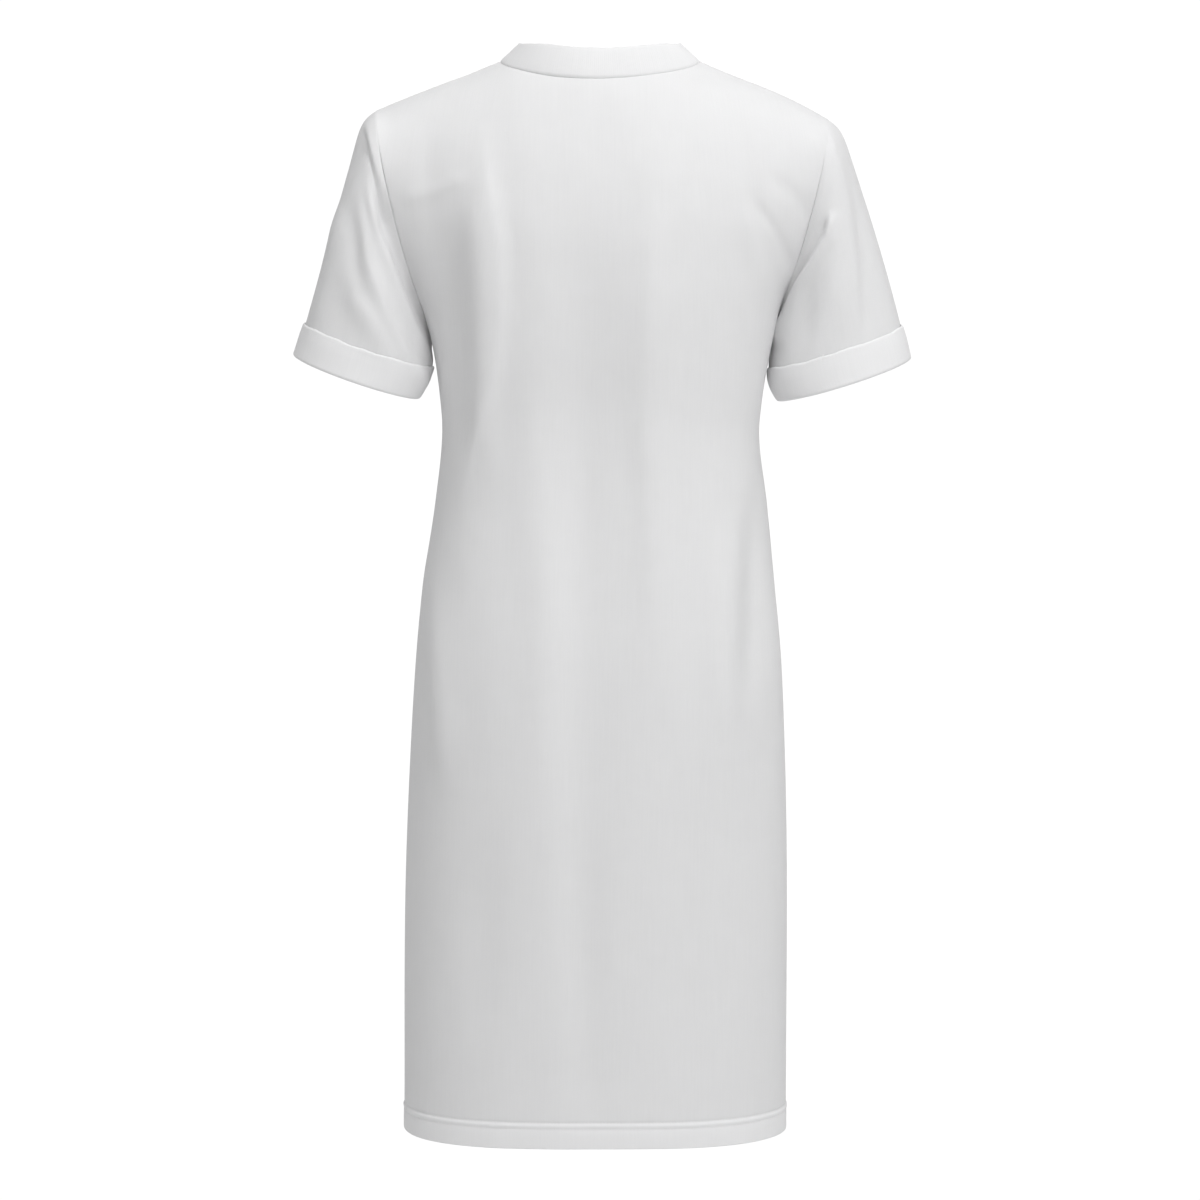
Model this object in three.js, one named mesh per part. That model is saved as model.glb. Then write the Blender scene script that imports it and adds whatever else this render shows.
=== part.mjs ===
// T-shirt dress, hollow and filled out as worn, in millimetres.
// +Z is up, the front faces -Y and +X is the wearer's left. The origin is the middle of the neck
// opening, level with the points where the shoulder seams meet the neckband.
// Every piece is a thin cloth wall, worked out as a grid of outer points and their normals.
import * as THREE from "three";

// Cloth walls and the gap between pieces at a seam
const JERSEY = 1.6;
const HEM_CLOTH = 2.8;
const BAND_CLOTH = 2.4;
const CUFF_CLOTH = 2.2;
const SEAM_GAP = 0.3;
const CUFF_LIFT = 0.5;

// Heights along the body
const HEM_Z = -947;
const HEM_DEPTH = 22;
const UNDERARM_Z = -240;

// Neck and shoulders
const NECK_HALF = 88.5;
const BAND_HEIGHT = 24;
const SHOULDER_HALF = 200;
const SHOULDER_SHIFT = -2;
const SHOULDER_DROP = { left: 44, right: 50 };
const SHOULDER_ARCH = { left: 2.5, right: 4.5 };
const SHOULDER_ARCH_SHIFT = 1.6;
const NECK_RISE = 20;

// How far the neckband leans in over its height, over the shoulders, behind and in front
const BAND_LEAN = { side: 0.68, back: 0.25, front: 0.4 };

// Share of a panel's columns, counted from its middle, that end on the neckline
const NECK_SHARE = 0.27;

// Roundness of the body's sections: 2 is an ellipse, more is boxier
const SECTION_ROUND = 2.3;

// Body sections from the underarm to the hem: half width, depth behind and in front of the side
// seams, and how far the middle stands towards the wearer's left
const BODY = [
  { z: -240, half: 149, back: 102, front: 113, middle: -1 },
  { z: -282, half: 144, back: 97, front: 110, middle: -1 },
  { z: -330, half: 141, back: 93.5, front: 107, middle: -0.5 },
  { z: -390, half: 147.5, back: 97.5, front: 107, middle: -1 },
  { z: -460, half: 156, back: 106.5, front: 110, middle: 1 },
  { z: -531, half: 162.5, back: 115, front: 113, middle: 1.5 },
  { z: -638, half: 167.5, back: 118, front: 114, middle: 2.5 },
  { z: -745, half: 170, back: 117, front: 113, middle: 3.5 },
  { z: -947, half: 170, back: 114, front: 112, middle: 4.5 },
];

// The two panels: side is +1 behind and -1 in front, neckCut is the share of the cloth's way up to
// the shoulder line that the neckline cuts away at the middle, armholeBulge how far the armhole
// rounds out and scoop how far it cuts in
const PANELS = {
  back: {
    side: 1, depth: "back", neckCut: 0.26, armholeBulge: 27, scoop: 0, neckColumns: 12,
  },
  front: {
    side: -1, depth: "front", neckCut: 0.485, armholeBulge: 22, scoop: 7, neckColumns: 16,
  },
};

// How the cloth leaves the side seam into the armhole, over how narrow a strip along the armhole it
// bulges, curves and is scooped out, and how it meets the shoulder seam
const ARMHOLE_FLARE = 70;
const ARMHOLE_STRIP = { flare: 4, bulge: 3, curve: 8, scoop: 6 };
const ARMHOLE_CURVE = 1.2;
const SHOULDER_RISE = 0.25;

// The direction straight out of an armhole, sideways and down
const ARMHOLE_OUT = { sideways: 0.96, down: 0.28 };

// Folds of the panels: x and z of the upper and lower ends, half width of the fold, how far it
// stands out (less than 0 is a trough) and the length over which it fades at either end
const FOLDS = {
  back: [
    { x0: 108, z0: -90, x1: 96, z1: -400, wide: 15, out: 5, fade: 90 },
    { x0: 138, z0: -110, x1: 118, z1: -380, wide: 17, out: -5, fade: 90 },
    { x0: 16, z0: -100, x1: 20, z1: -900, wide: 24, out: -3.5, fade: 130 },
    { x0: -42, z0: -110, x1: -52, z1: -620, wide: 22, out: 3, fade: 130 },
    { x0: 52, z0: -280, x1: 32, z1: -930, wide: 22, out: 2.5, fade: 140 },
    { x0: -112, z0: -390, x1: -104, z1: -640, wide: 15, out: 4, fade: 90 },
    { x0: -136, z0: -370, x1: -137, z1: -570, wide: 13, out: -4, fade: 70 },
    { x0: 142, z0: -440, x1: 139, z1: -640, wide: 14, out: 3.5, fade: 80 },
    { x0: -78, z0: -560, x1: -70, z1: -930, wide: 20, out: -2.5, fade: 120 },
    { x0: 100, z0: -640, x1: 92, z1: -930, wide: 22, out: -2.5, fade: 120 },
  ],
  front: [
    { x0: 104, z0: -150, x1: 92, z1: -420, wide: 18, out: -4, fade: 90 },
    { x0: -100, z0: -140, x1: -90, z1: -440, wide: 18, out: -4.5, fade: 90 },
    { x0: 12, z0: -240, x1: 22, z1: -880, wide: 26, out: -3, fade: 140 },
    { x0: -56, z0: -340, x1: -64, z1: -900, wide: 24, out: 3, fade: 140 },
    { x0: 74, z0: -430, x1: 80, z1: -920, wide: 22, out: 3, fade: 130 },
    { x0: -128, z0: -380, x1: -132, z1: -660, wide: 15, out: 3.5, fade: 80 },
    { x0: 130, z0: -400, x1: 134, z1: -620, wide: 15, out: 3, fade: 80 },
  ],
};

// Sleeves: outer and inner ends of the cuff's lower edge as x, z seen from behind, front-to-back
// half depth there; the edge runs lower behind than in front
const CUFF_DEPTH = 30;
const CUFF_BEHIND_LOWER = 6;
const SLEEVES = {
  left: { side: 1, outer: [273, -258], inner: [160, -298], deep: 56, flare: 40 },
  right: { side: -1, outer: [-277, -262], inner: [-157.5, -300], deep: 57, flare: 20 },
};

// Directions in which the sleeve's cloth leaves the armhole and reaches the cuff, as lengths
// outwards (away from the body) and down, at the underarm and at the shoulder; a sleeve's own
// flare is its outward length at the cuff on top
const SLEEVE_START = { under: [8, 55], over: [60, 60] };
const SLEEVE_END = { under: [48, 62], over: 200 };
const SLEEVE_SPREAD = 34;

// The rounded sleeve head just outside the shoulder seam, and where it stands out most
const SLEEVE_HEAD = { out: 7.5, up: 3, at: 0.09 };

// Folds along each sleeve: turn is where it lies round the tube in degrees (0 is under the arm,
// 90 behind, 180 on top, 270 in front), from and to are shares of the sleeve's length
const SLEEVE_FOLDS = {
  left: [
    { turn: 150, from: 0.05, to: 0.8, wide: 13, out: 2.5 },
    { turn: 118, from: 0.1, to: 0.92, wide: 15, out: -3.5 },
    { turn: 84, from: 0.2, to: 0.9, wide: 13, out: 2.5 },
    { turn: 236, from: 0.15, to: 0.9, wide: 18, out: -3 },
  ],
  right: [
    { turn: 140, from: 0.05, to: 0.95, wide: 13, out: -3 },
    { turn: 100, from: 0.15, to: 0.85, wide: 16, out: 2.5 },
    { turn: 60, from: 0.15, to: 0.8, wide: 14, out: -3 },
    { turn: 240, from: 0.1, to: 0.9, wide: 18, out: -3 },
  ],
};

// Strip along a panel's edges, as a share of its columns, where its folds fade out
const FOLD_FREE_EDGE = 0.125;

// Fineness of the grids
const HEM_ROWS = 2;
const BODY_ROWS = 24;
const YOKE_ROWS = 12;
const SHOULDER_COLUMNS = 9;
const SLEEVE_ROWS = 7;
const CUFF_ROWS = 2;
const LINE_STEPS = 60;
const BAND_ROWS = 3;
const EASING_ROUNDS = 3;
const EASING_REACH = 3;

function hermite(start, end, leave, arrive, t) {
  const t2 = t * t;
  const t3 = t2 * t;
  return (2 * t3 - 3 * t2 + 1) * start + (t3 - 2 * t2 + t) * leave
    + (3 * t2 - 2 * t3) * end + (t3 - t2) * arrive;
}

function mix(a, b, share) {
  return a + (b - a) * share;
}

function hermitePoint(start, end, leave, arrive, t) {
  return new THREE.Vector3(
    hermite(start.x, end.x, leave.x, arrive.x, t),
    hermite(start.y, end.y, leave.y, arrive.y, t),
    hermite(start.z, end.z, leave.z, arrive.z, t),
  );
}

// A column of the body table at a height, as a smooth curve through its rows
function bodySize(key, z) {
  const last = BODY.length - 2;
  let row = BODY.findIndex((section) => section.z <= z) - 1;
  row = Math.min(Math.max(row < -1 ? last : row, 0), last);
  const slope = (i) => {
    const above = BODY[Math.max(i - 1, 0)];
    const below = BODY[Math.min(i + 1, BODY.length - 1)];
    return (below[key] - above[key]) / (below.z - above.z);
  };
  const step = BODY[row + 1].z - BODY[row].z;
  const share = (z - BODY[row].z) / step;
  return hermite(BODY[row][key], BODY[row + 1][key], slope(row) * step, slope(row + 1) * step, share);
}

function roundedTurn(value) {
  return Math.sign(value) * Math.pow(Math.abs(value), 2 / SECTION_ROUND);
}

// A point of a panel below the underarm; across runs from -1 to 1 between the side seams
function bodyPoint(panel, across, z) {
  const turn = across * Math.PI / 2;
  const sideways = roundedTurn(Math.sin(turn));
  const outwards = roundedTurn(Math.max(Math.cos(turn), 0));
  return new THREE.Vector3(
    bodySize("middle", z) + bodySize("half", z) * sideways,
    panel.side * bodySize(panel.depth, z) * outwards,
    z,
  );
}

// The line over the shoulders from tip to tip, carried on across the neck, where the cloth is cut off
function shoulderLine(across) {
  const share = Math.abs(across);
  if (share < NECK_SHARE) {
    const inwards = share / NECK_SHARE;
    return new THREE.Vector3(
      Math.sign(across) * NECK_HALF * inwards,
      0,
      NECK_RISE * (1 - inwards * inwards),
    );
  }
  const out = (share - NECK_SHARE) / (1 - NECK_SHARE);
  const name = across > 0 ? "left" : "right";
  const arch = SHOULDER_ARCH[name] * Math.sin(Math.PI * Math.pow(out, SHOULDER_ARCH_SHIFT));
  return new THREE.Vector3(
    Math.sign(across) * mix(NECK_HALF, SHOULDER_HALF, out) + SHOULDER_SHIFT * out,
    0,
    -SHOULDER_DROP[name] * out + arch,
  );
}

// How much of the way up to the shoulder line the panel's cloth reaches, for an oval neck opening
function clothReach(panel, across) {
  const inwards = Math.min(Math.abs(across) / NECK_SHARE, 1);
  return 1 - panel.neckCut * Math.sqrt(1 - inwards * inwards);
}

// A point of a panel above the underarm; up runs from 0 there to 1 at the panel's upper edge
function yokePoint(panel, across, up) {
  const share = Math.abs(across);
  const way = up * clothReach(panel, across);
  const start = bodyPoint(panel, across, UNDERARM_Z);
  const end = shoulderLine(across);
  const length = start.distanceTo(end);
  const lower = bodyPoint(panel, across, UNDERARM_Z - 1);
  const leave = start.clone().sub(lower).normalize().multiplyScalar(length);
  leave.x += Math.sign(across) * ARMHOLE_FLARE * Math.pow(share, ARMHOLE_STRIP.flare);
  const arrive = new THREE.Vector3(0, -panel.side, SHOULDER_RISE).normalize().multiplyScalar(length);
  const point = hermitePoint(start, end, leave, arrive, way);
  const hump = 4 * way * (1 - way);
  const sharpness = 2 - ARMHOLE_CURVE * Math.pow(share, ARMHOLE_STRIP.curve);
  const bulge = panel.armholeBulge * Math.pow(share, ARMHOLE_STRIP.bulge);
  point.y += panel.side * bulge * Math.pow(hump, sharpness);
  point.x -= Math.sign(across) * panel.scoop * Math.pow(share, ARMHOLE_STRIP.scoop) * hump * hump;
  return point;
}

function panelColumns(panel) {
  const columns = [];
  const neckSteps = panel.neckColumns;
  for (let i = 0; i < SHOULDER_COLUMNS; i += 1) {
    columns.push(-mix(1, NECK_SHARE, i / SHOULDER_COLUMNS));
  }
  for (let i = 0; i <= neckSteps; i += 1) {
    columns.push(-NECK_SHARE * Math.cos(Math.PI * i / neckSteps));
  }
  for (let i = 1; i <= SHOULDER_COLUMNS; i += 1) {
    columns.push(mix(NECK_SHARE, 1, i / SHOULDER_COLUMNS));
  }
  return columns;
}

// Rounds off the change of direction between body and yoke, leaving the panel's edges in place
function easeGrid(points, fromRow, toRow) {
  for (let round = 0; round < EASING_ROUNDS; round += 1) {
    const before = points.map((row) => row.map((point) => point.clone()));
    for (let r = fromRow; r <= toRow; r += 1) {
      for (let c = 1; c < points[r].length - 1; c += 1) {
        const mean = before[r - 1][c].clone().add(before[r + 1][c]).multiplyScalar(0.5);
        points[r][c].lerp(mean, 0.5);
      }
    }
  }
}

function smoothStep(value) {
  const t = Math.min(Math.max(value, 0), 1);
  return t * t * (3 - 2 * t);
}

// How far the folds of a panel move a point out of the cloth's plain form
function foldHeight(folds, point) {
  let height = 0;
  for (const fold of folds) {
    const share = (point.z - fold.z0) / (fold.z1 - fold.z0);
    const centre = mix(fold.x0, fold.x1, share);
    const apart = (point.x - centre) / fold.wide;
    const ends = smoothStep((fold.z0 - point.z) / fold.fade) * smoothStep((point.z - fold.z1) / fold.fade);
    height += fold.out * Math.exp(-apart * apart) * ends;
  }
  return height;
}

// Normals of a grid of points, from its neighbours; a closed grid wraps round its columns
function gridNormals(points, closed, turned) {
  const lastRow = points.length - 1;
  const count = points[0].length;
  return points.map((row, r) => row.map((point, c) => {
    const next = closed ? (c + 1) % count : Math.min(c + 1, count - 1);
    const previous = closed ? (c + count - 1) % count : Math.max(c - 1, 0);
    const around = row[next].clone().sub(row[previous]);
    const along = points[Math.min(r + 1, lastRow)][c].clone().sub(points[Math.max(r - 1, 0)][c]);
    return around.cross(along).multiplyScalar(turned).normalize();
  }));
}

function makePanel(panel, folds) {
  const columns = panelColumns(panel);
  const points = [];
  points.push(columns.map((across) => bodyPoint(panel, across, HEM_Z)));
  const aboveHem = HEM_Z + HEM_DEPTH;
  for (let i = 0; i < BODY_ROWS - 1; i += 1) {
    const z = mix(aboveHem, UNDERARM_Z, i / (BODY_ROWS - 1));
    points.push(columns.map((across) => bodyPoint(panel, across, z)));
  }
  for (let i = 0; i <= YOKE_ROWS; i += 1) {
    points.push(columns.map((across) => yokePoint(panel, across, i / YOKE_ROWS)));
  }
  easeGrid(points, BODY_ROWS - EASING_REACH, BODY_ROWS + EASING_REACH);
  const turned = -panel.side;
  const plain = gridNormals(points, false, turned);
  points.forEach((row, r) => row.forEach((point, c) => {
    const edge = smoothStep((1 - Math.abs(columns[c])) / FOLD_FREE_EDGE);
    point.addScaledVector(plain[r][c], foldHeight(folds, point) * edge);
  }));
  const normals = gridNormals(points, false, turned);
  const walls = points.map((row, r) => row.map(() => (r < HEM_ROWS ? HEM_CLOTH : JERSEY)));
  return { columns, points, normals, walls, closed: false, turnedRim: panel.side < 0 };
}

// The armhole's points from the underarm up behind the arm, over the shoulder and down in front
function armholeRing(back, front, column) {
  const ring = [];
  for (let r = 0; r <= YOKE_ROWS; r += 1) {
    ring.push([{ panel: back, row: BODY_ROWS + r }]);
  }
  ring[YOKE_ROWS].push({ panel: front, row: BODY_ROWS + YOKE_ROWS });
  for (let r = YOKE_ROWS - 1; r > 0; r -= 1) {
    ring.push([{ panel: front, row: BODY_ROWS + r }]);
  }
  ring[0].push({ panel: front, row: BODY_ROWS });
  for (const members of ring) {
    for (const member of members) {
      member.col = column(member.panel);
    }
  }
  return ring;
}

// A point of the sleeve's outer face; turn is 0 under the arm, half a turn on top of it
function sleevePoint(sleeve, start, turn, along) {
  const over = (1 - Math.cos(turn)) / 2;
  const behind = Math.sin(turn);
  const middle = new THREE.Vector3(
    (sleeve.outer[0] + sleeve.inner[0]) / 2,
    0,
    (sleeve.outer[1] + sleeve.inner[1]) / 2,
  );
  const reach = new THREE.Vector3(
    (sleeve.outer[0] - sleeve.inner[0]) / 2,
    0,
    (sleeve.outer[1] - sleeve.inner[1]) / 2,
  );
  const cover = CUFF_LIFT + CUFF_CLOTH;
  const shrink = 1 - cover / reach.length();
  const end = middle.clone().addScaledVector(reach, -Math.cos(turn) * shrink);
  end.y = (sleeve.deep - cover) * behind;
  end.z -= CUFF_BEHIND_LOWER * behind;
  const leaveOut = mix(SLEEVE_START.under[0], SLEEVE_START.over[0], over);
  const leaveDown = mix(SLEEVE_START.under[1], SLEEVE_START.over[1], over);
  const arriveOut = mix(SLEEVE_END.under[0], sleeve.flare, over);
  const arriveDown = mix(SLEEVE_END.under[1], SLEEVE_END.over, over);
  const leave = new THREE.Vector3(sleeve.side * leaveOut, SLEEVE_SPREAD * behind, -leaveDown);
  const arrive = new THREE.Vector3(sleeve.side * arriveOut, 0, -arriveDown);
  const point = hermitePoint(start, end, leave, arrive, along);
  const head = (along / SLEEVE_HEAD.at) * Math.exp(1 - along / SLEEVE_HEAD.at);
  const lift = (over * head) ** 2;
  return point.add(new THREE.Vector3(sleeve.side * SLEEVE_HEAD.out * lift, 0, SLEEVE_HEAD.up * lift));
}

// One line of points down the sleeve: even steps, then those that the cuff covers
function sleeveLine(sleeve, start, turn) {
  const outward = new THREE.Vector3(sleeve.side * ARMHOLE_OUT.sideways, 0, -ARMHOLE_OUT.down);
  outward.multiplyScalar(SEAM_GAP);
  const fine = [];
  const travelled = [0];
  for (let i = 0; i <= LINE_STEPS; i += 1) {
    const along = i / LINE_STEPS;
    fine.push(sleevePoint(sleeve, start, turn, along).addScaledVector(outward, 1 - along));
    if (i > 0) {
      travelled.push(travelled[i - 1] + fine[i].distanceTo(fine[i - 1]));
    }
  }
  const length = travelled[LINE_STEPS];
  const line = [];
  for (let r = 0; r <= SLEEVE_ROWS + CUFF_ROWS; r += 1) {
    const covered = Math.max(r - SLEEVE_ROWS, 0) / CUFF_ROWS;
    const open = Math.min(r / SLEEVE_ROWS, 1);
    const distance = (length - CUFF_DEPTH) * open + CUFF_DEPTH * covered;
    const i = Math.max(travelled.findIndex((value) => value >= distance - 1e-6), 1);
    const share = (distance - travelled[i - 1]) / (travelled[i] - travelled[i - 1]);
    line.push(fine[i - 1].clone().lerp(fine[i], share));
  }
  return line;
}

function makeSleeve(sleeve, folds, ring) {
  const count = ring.length;
  const lines = ring.map(([member], k) => (
    sleeveLine(sleeve, member.panel.points[member.row][member.col], (k / count) * 2 * Math.PI)
  ));
  const points = lines[0].map((_, r) => lines.map((line) => line[r]));
  const turned = sleeve.side;
  const plain = gridNormals(points, true, turned);
  points.forEach((row, r) => row.forEach((point, k) => {
    const along = r / (SLEEVE_ROWS + CUFF_ROWS);
    let height = 0;
    for (const fold of folds) {
      const middle = (fold.from + fold.to) / 2;
      const apart = ((k / count) * 360 - fold.turn) / fold.wide;
      const lengthwise = 1 - Math.abs(along - middle) / ((fold.to - fold.from) / 2);
      height += fold.out * Math.exp(-apart * apart) * smoothStep(lengthwise);
    }
    point.addScaledVector(plain[r][k], height);
  }));
  const normals = gridNormals(points, true, turned);
  const walls = points.map((row) => row.map(() => JERSEY));
  return { points, normals, walls, closed: true };
}

// The turned-up cuff: the last rows of the sleeve, moved out past the sleeve's own cloth
function makeCuff(sleeve) {
  const points = sleeve.points.slice(SLEEVE_ROWS).map((row, r) => row.map((point, k) => (
    point.clone().addScaledVector(sleeve.normals[SLEEVE_ROWS + r][k], CUFF_LIFT + CUFF_CLOTH)
  )));
  const normals = sleeve.normals.slice(SLEEVE_ROWS);
  const walls = points.map((row) => row.map(() => CUFF_CLOTH));
  return { points, normals, walls, closed: true };
}

// The neckline's points from the left shoulder seam round the back, then round the front
function necklineRing(back, front) {
  const ring = [];
  const top = BODY_ROWS + YOKE_ROWS;
  const first = SHOULDER_COLUMNS;
  for (let i = PANELS.back.neckColumns; i >= 0; i -= 1) {
    ring.push([{ panel: back, row: top, col: first + i }]);
  }
  ring[PANELS.back.neckColumns].push({ panel: front, row: top, col: first });
  for (let i = 1; i < PANELS.front.neckColumns; i += 1) {
    ring.push([{ panel: front, row: top, col: first + i }]);
  }
  ring[0].push({ panel: front, row: top, col: first + PANELS.front.neckColumns });
  return ring;
}

// The standing neckband: it leans in over the shoulders, and less behind and in front
function makeBand(ring) {
  const bases = ring.map(([member]) => member.panel.points[member.row][member.col]);
  const count = bases.length;
  const directions = bases.map((base, k) => {
    const sideways = Math.min(Math.abs(base.x) / NECK_HALF, 1) ** 2;
    const middle = base.y > 0 ? BAND_LEAN.back : BAND_LEAN.front;
    const direction = new THREE.Vector3(
      -Math.sign(base.x) * BAND_LEAN.side * sideways,
      -Math.sign(base.y) * middle * (1 - sideways),
      0,
    );
    direction.z = Math.sqrt(1 - direction.lengthSq());
    const seam = bases[(k + 1) % count].clone().sub(bases[(k + count - 1) % count]).normalize();
    return direction.addScaledVector(seam, -direction.dot(seam)).normalize();
  });
  const points = [];
  for (let r = 0; r <= BAND_ROWS; r += 1) {
    const distance = SEAM_GAP + BAND_HEIGHT * (r / BAND_ROWS);
    points.push(bases.map((base, k) => base.clone().addScaledVector(directions[k], distance)));
  }
  const normals = gridNormals(points, true, 1);
  const walls = points.map((row) => row.map(() => BAND_CLOTH));
  return { points, normals, walls, closed: true };
}

// Gives pieces that meet at a seam one common normal there, square to the seam and halfway between
// them, so that their ends lie face to face
function shareNormals(members, before, after) {
  const seam = after.clone().sub(before).normalize();
  const sum = new THREE.Vector3();
  const inward = new THREE.Vector3();
  for (const { panel, row, col, towards } of members) {
    const inside = panel.points[towards[0]][towards[1]].clone().sub(panel.points[row][col]);
    inside.addScaledVector(seam, -inside.dot(seam)).normalize();
    sum.add(panel.normals[row][col]);
    inward.add(inside);
  }
  const valley = Math.sign(sum.dot(inward)) || 1;
  sum.addScaledVector(inward, valley);
  sum.addScaledVector(seam, -sum.dot(seam)).normalize();
  for (const { panel, row, col } of members) {
    panel.normals[row][col] = sum;
  }
}

function joinPanels(back, front) {
  for (const panel of [back, front]) {
    panel.last = panel.columns.length - 1;
  }
  for (let row = 0; row < BODY_ROWS; row += 1) {
    for (const atLeft of [false, true]) {
      const members = [back, front].map((panel) => ({
        panel,
        row,
        col: atLeft ? panel.last : 0,
        towards: [row, atLeft ? panel.last - 1 : 1],
      }));
      const edge = back.points.map((points) => points[members[0].col]);
      shareNormals(members, edge[Math.max(row - 1, 0)], edge[row + 1]);
    }
  }
  const top = BODY_ROWS + YOKE_ROWS;
  for (let i = 1; i < SHOULDER_COLUMNS; i += 1) {
    for (const atLeft of [false, true]) {
      const members = [back, front].map((panel) => {
        const col = atLeft ? panel.last - i : i;
        return { panel, row: top, col, towards: [top - 1, col] };
      });
      const { col } = members[0];
      shareNormals(members, back.points[top][col - 1], back.points[top][col + 1]);
    }
  }
}

// Joins a tube's first ring to the edge that it is sewn to
function joinRing(tube, ring, step) {
  const count = ring.length;
  ring.forEach((members, k) => {
    const edge = members.map((member) => ({ ...member, towards: step(member) }));
    edge.push({ panel: tube, row: 0, col: k, towards: [1, k] });
    shareNormals(edge, tube.points[0][(k + count - 1) % count], tube.points[0][(k + 1) % count]);
  });
}

// Opens the side and shoulder seams by half the gap on each panel
function openSeams(panel, inner) {
  const half = SEAM_GAP / 2;
  const top = BODY_ROWS + YOKE_ROWS;
  const pull = (row, col, nearRow, nearCol) => {
    for (const grid of [panel.points, inner]) {
      const towards = grid[nearRow][nearCol].clone().sub(grid[row][col]);
      grid[row][col].addScaledVector(towards.normalize(), half);
    }
  };
  for (let row = 0; row <= BODY_ROWS; row += 1) {
    pull(row, 0, row, 1);
    pull(row, panel.last, row, panel.last - 1);
  }
  for (let i = 0; i <= SHOULDER_COLUMNS; i += 1) {
    pull(top, i, top - 1, i);
    pull(top, panel.last - i, top - 1, panel.last - i);
  }
}

function innerPoints(piece) {
  return piece.points.map((row, r) => row.map((point, c) => (
    point.clone().addScaledVector(piece.normals[r][c], -piece.walls[r][c])
  )));
}

// Closes the outer and inner faces of a cloth wall with a rim along each free edge. The front's rim
// is split along the other diagonal, as the rings sewn to it run the other way there.
function wallGeometry(piece, inner) {
  const rows = piece.points.length;
  const count = piece.points[0].length;
  const positions = [];
  for (const grid of [piece.points, inner]) {
    for (const row of grid) {
      for (const point of row) {
        positions.push(point.x, point.y, point.z);
      }
    }
  }
  const outer = (r, c) => r * count + (c % count);
  const inside = (r, c) => rows * count + outer(r, c);
  const index = [];
  const quad = (a, b, c, d) => {
    index.push(a, b, c, a, c, d);
  };
  const rim = (a, b, c, d) => (piece.turnedRim ? quad(b, c, d, a) : quad(a, b, c, d));
  const corner = (i) => new THREE.Vector3().fromArray(positions, i * 3);
  const face = (a, b, c, d) => {
    const shorter = corner(a).distanceTo(corner(c)) <= corner(b).distanceTo(corner(d));
    return shorter ? quad(a, b, c, d) : quad(b, c, d, a);
  };
  const columns = piece.closed ? count : count - 1;
  for (let c = 0; c < columns; c += 1) {
    for (let r = 0; r < rows - 1; r += 1) {
      face(outer(r, c), outer(r, c + 1), outer(r + 1, c + 1), outer(r + 1, c));
      face(inside(r, c), inside(r + 1, c), inside(r + 1, c + 1), inside(r, c + 1));
    }
    rim(outer(0, c), inside(0, c), inside(0, c + 1), outer(0, c + 1));
    rim(outer(rows - 1, c + 1), inside(rows - 1, c + 1), inside(rows - 1, c), outer(rows - 1, c));
  }
  if (!piece.closed) {
    for (let r = 0; r < rows - 1; r += 1) {
      rim(outer(r, 0), outer(r + 1, 0), inside(r + 1, 0), inside(r, 0));
      rim(outer(r, count - 1), inside(r, count - 1), inside(r + 1, count - 1), outer(r + 1, count - 1));
    }
  }
  if (signedVolume(positions, index) < 0) {
    index.reverse();
  }
  const geometry = new THREE.BufferGeometry();
  geometry.setAttribute("position", new THREE.Float32BufferAttribute(positions, 3));
  geometry.setIndex(index);
  geometry.computeVertexNormals();
  return geometry;
}

function signedVolume(positions, index) {
  const corner = (i) => new THREE.Vector3().fromArray(positions, index[i] * 3);
  let volume = 0;
  for (let i = 0; i < index.length; i += 3) {
    volume += corner(i).dot(corner(i + 1).cross(corner(i + 2))) / 6;
  }
  return volume;
}

// Materials
const jersey = new THREE.MeshStandardMaterial({ color: 0xf2f2f2, roughness: 0.9, metalness: 0 });
const ribKnit = new THREE.MeshStandardMaterial({ color: 0xf4f4f4, roughness: 0.92, metalness: 0 });

function addPiece(dress, name, piece, material, inner = innerPoints(piece)) {
  const mesh = new THREE.Mesh(wallGeometry(piece, inner), material);
  mesh.name = name;
  dress.add(mesh);
}

function buildDress() {
  const dress = new THREE.Group();
  const back = makePanel(PANELS.back, FOLDS.back);
  const front = makePanel(PANELS.front, FOLDS.front);
  joinPanels(back, front);

  const neckline = necklineRing(back, front);
  const band = makeBand(neckline);
  joinRing(band, neckline, ({ row, col }) => [row - 1, col]);

  const sleeves = {};
  for (const name of ["left", "right"]) {
    const atLeft = name === "left";
    const ring = armholeRing(back, front, (panel) => (atLeft ? panel.last : 0));
    const sleeve = makeSleeve(SLEEVES[name], SLEEVE_FOLDS[name], ring);
    joinRing(sleeve, ring, ({ row, col }) => [row, atLeft ? col - 1 : col + 1]);
    sleeves[name] = sleeve;
  }

  for (const [name, panel] of [["back", back], ["front", front]]) {
    const inner = innerPoints(panel);
    openSeams(panel, inner);
    addPiece(dress, name, panel, jersey, inner);
  }
  for (const [name, sleeve] of Object.entries(sleeves)) {
    addPiece(dress, `sleeve_${name}`, sleeve, jersey);
    addPiece(dress, `cuff_${name}`, makeCuff(sleeve), jersey);
  }
  addPiece(dress, "neckband", band, ribKnit);
  return dress;
}

export default buildDress();
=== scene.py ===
"""White jersey t-shirt dress, seen from behind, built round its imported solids.

Everything is in metres in the frame of the solids: +Z up, the front faces -Y, +X is the wearer's left.
"""

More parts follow.
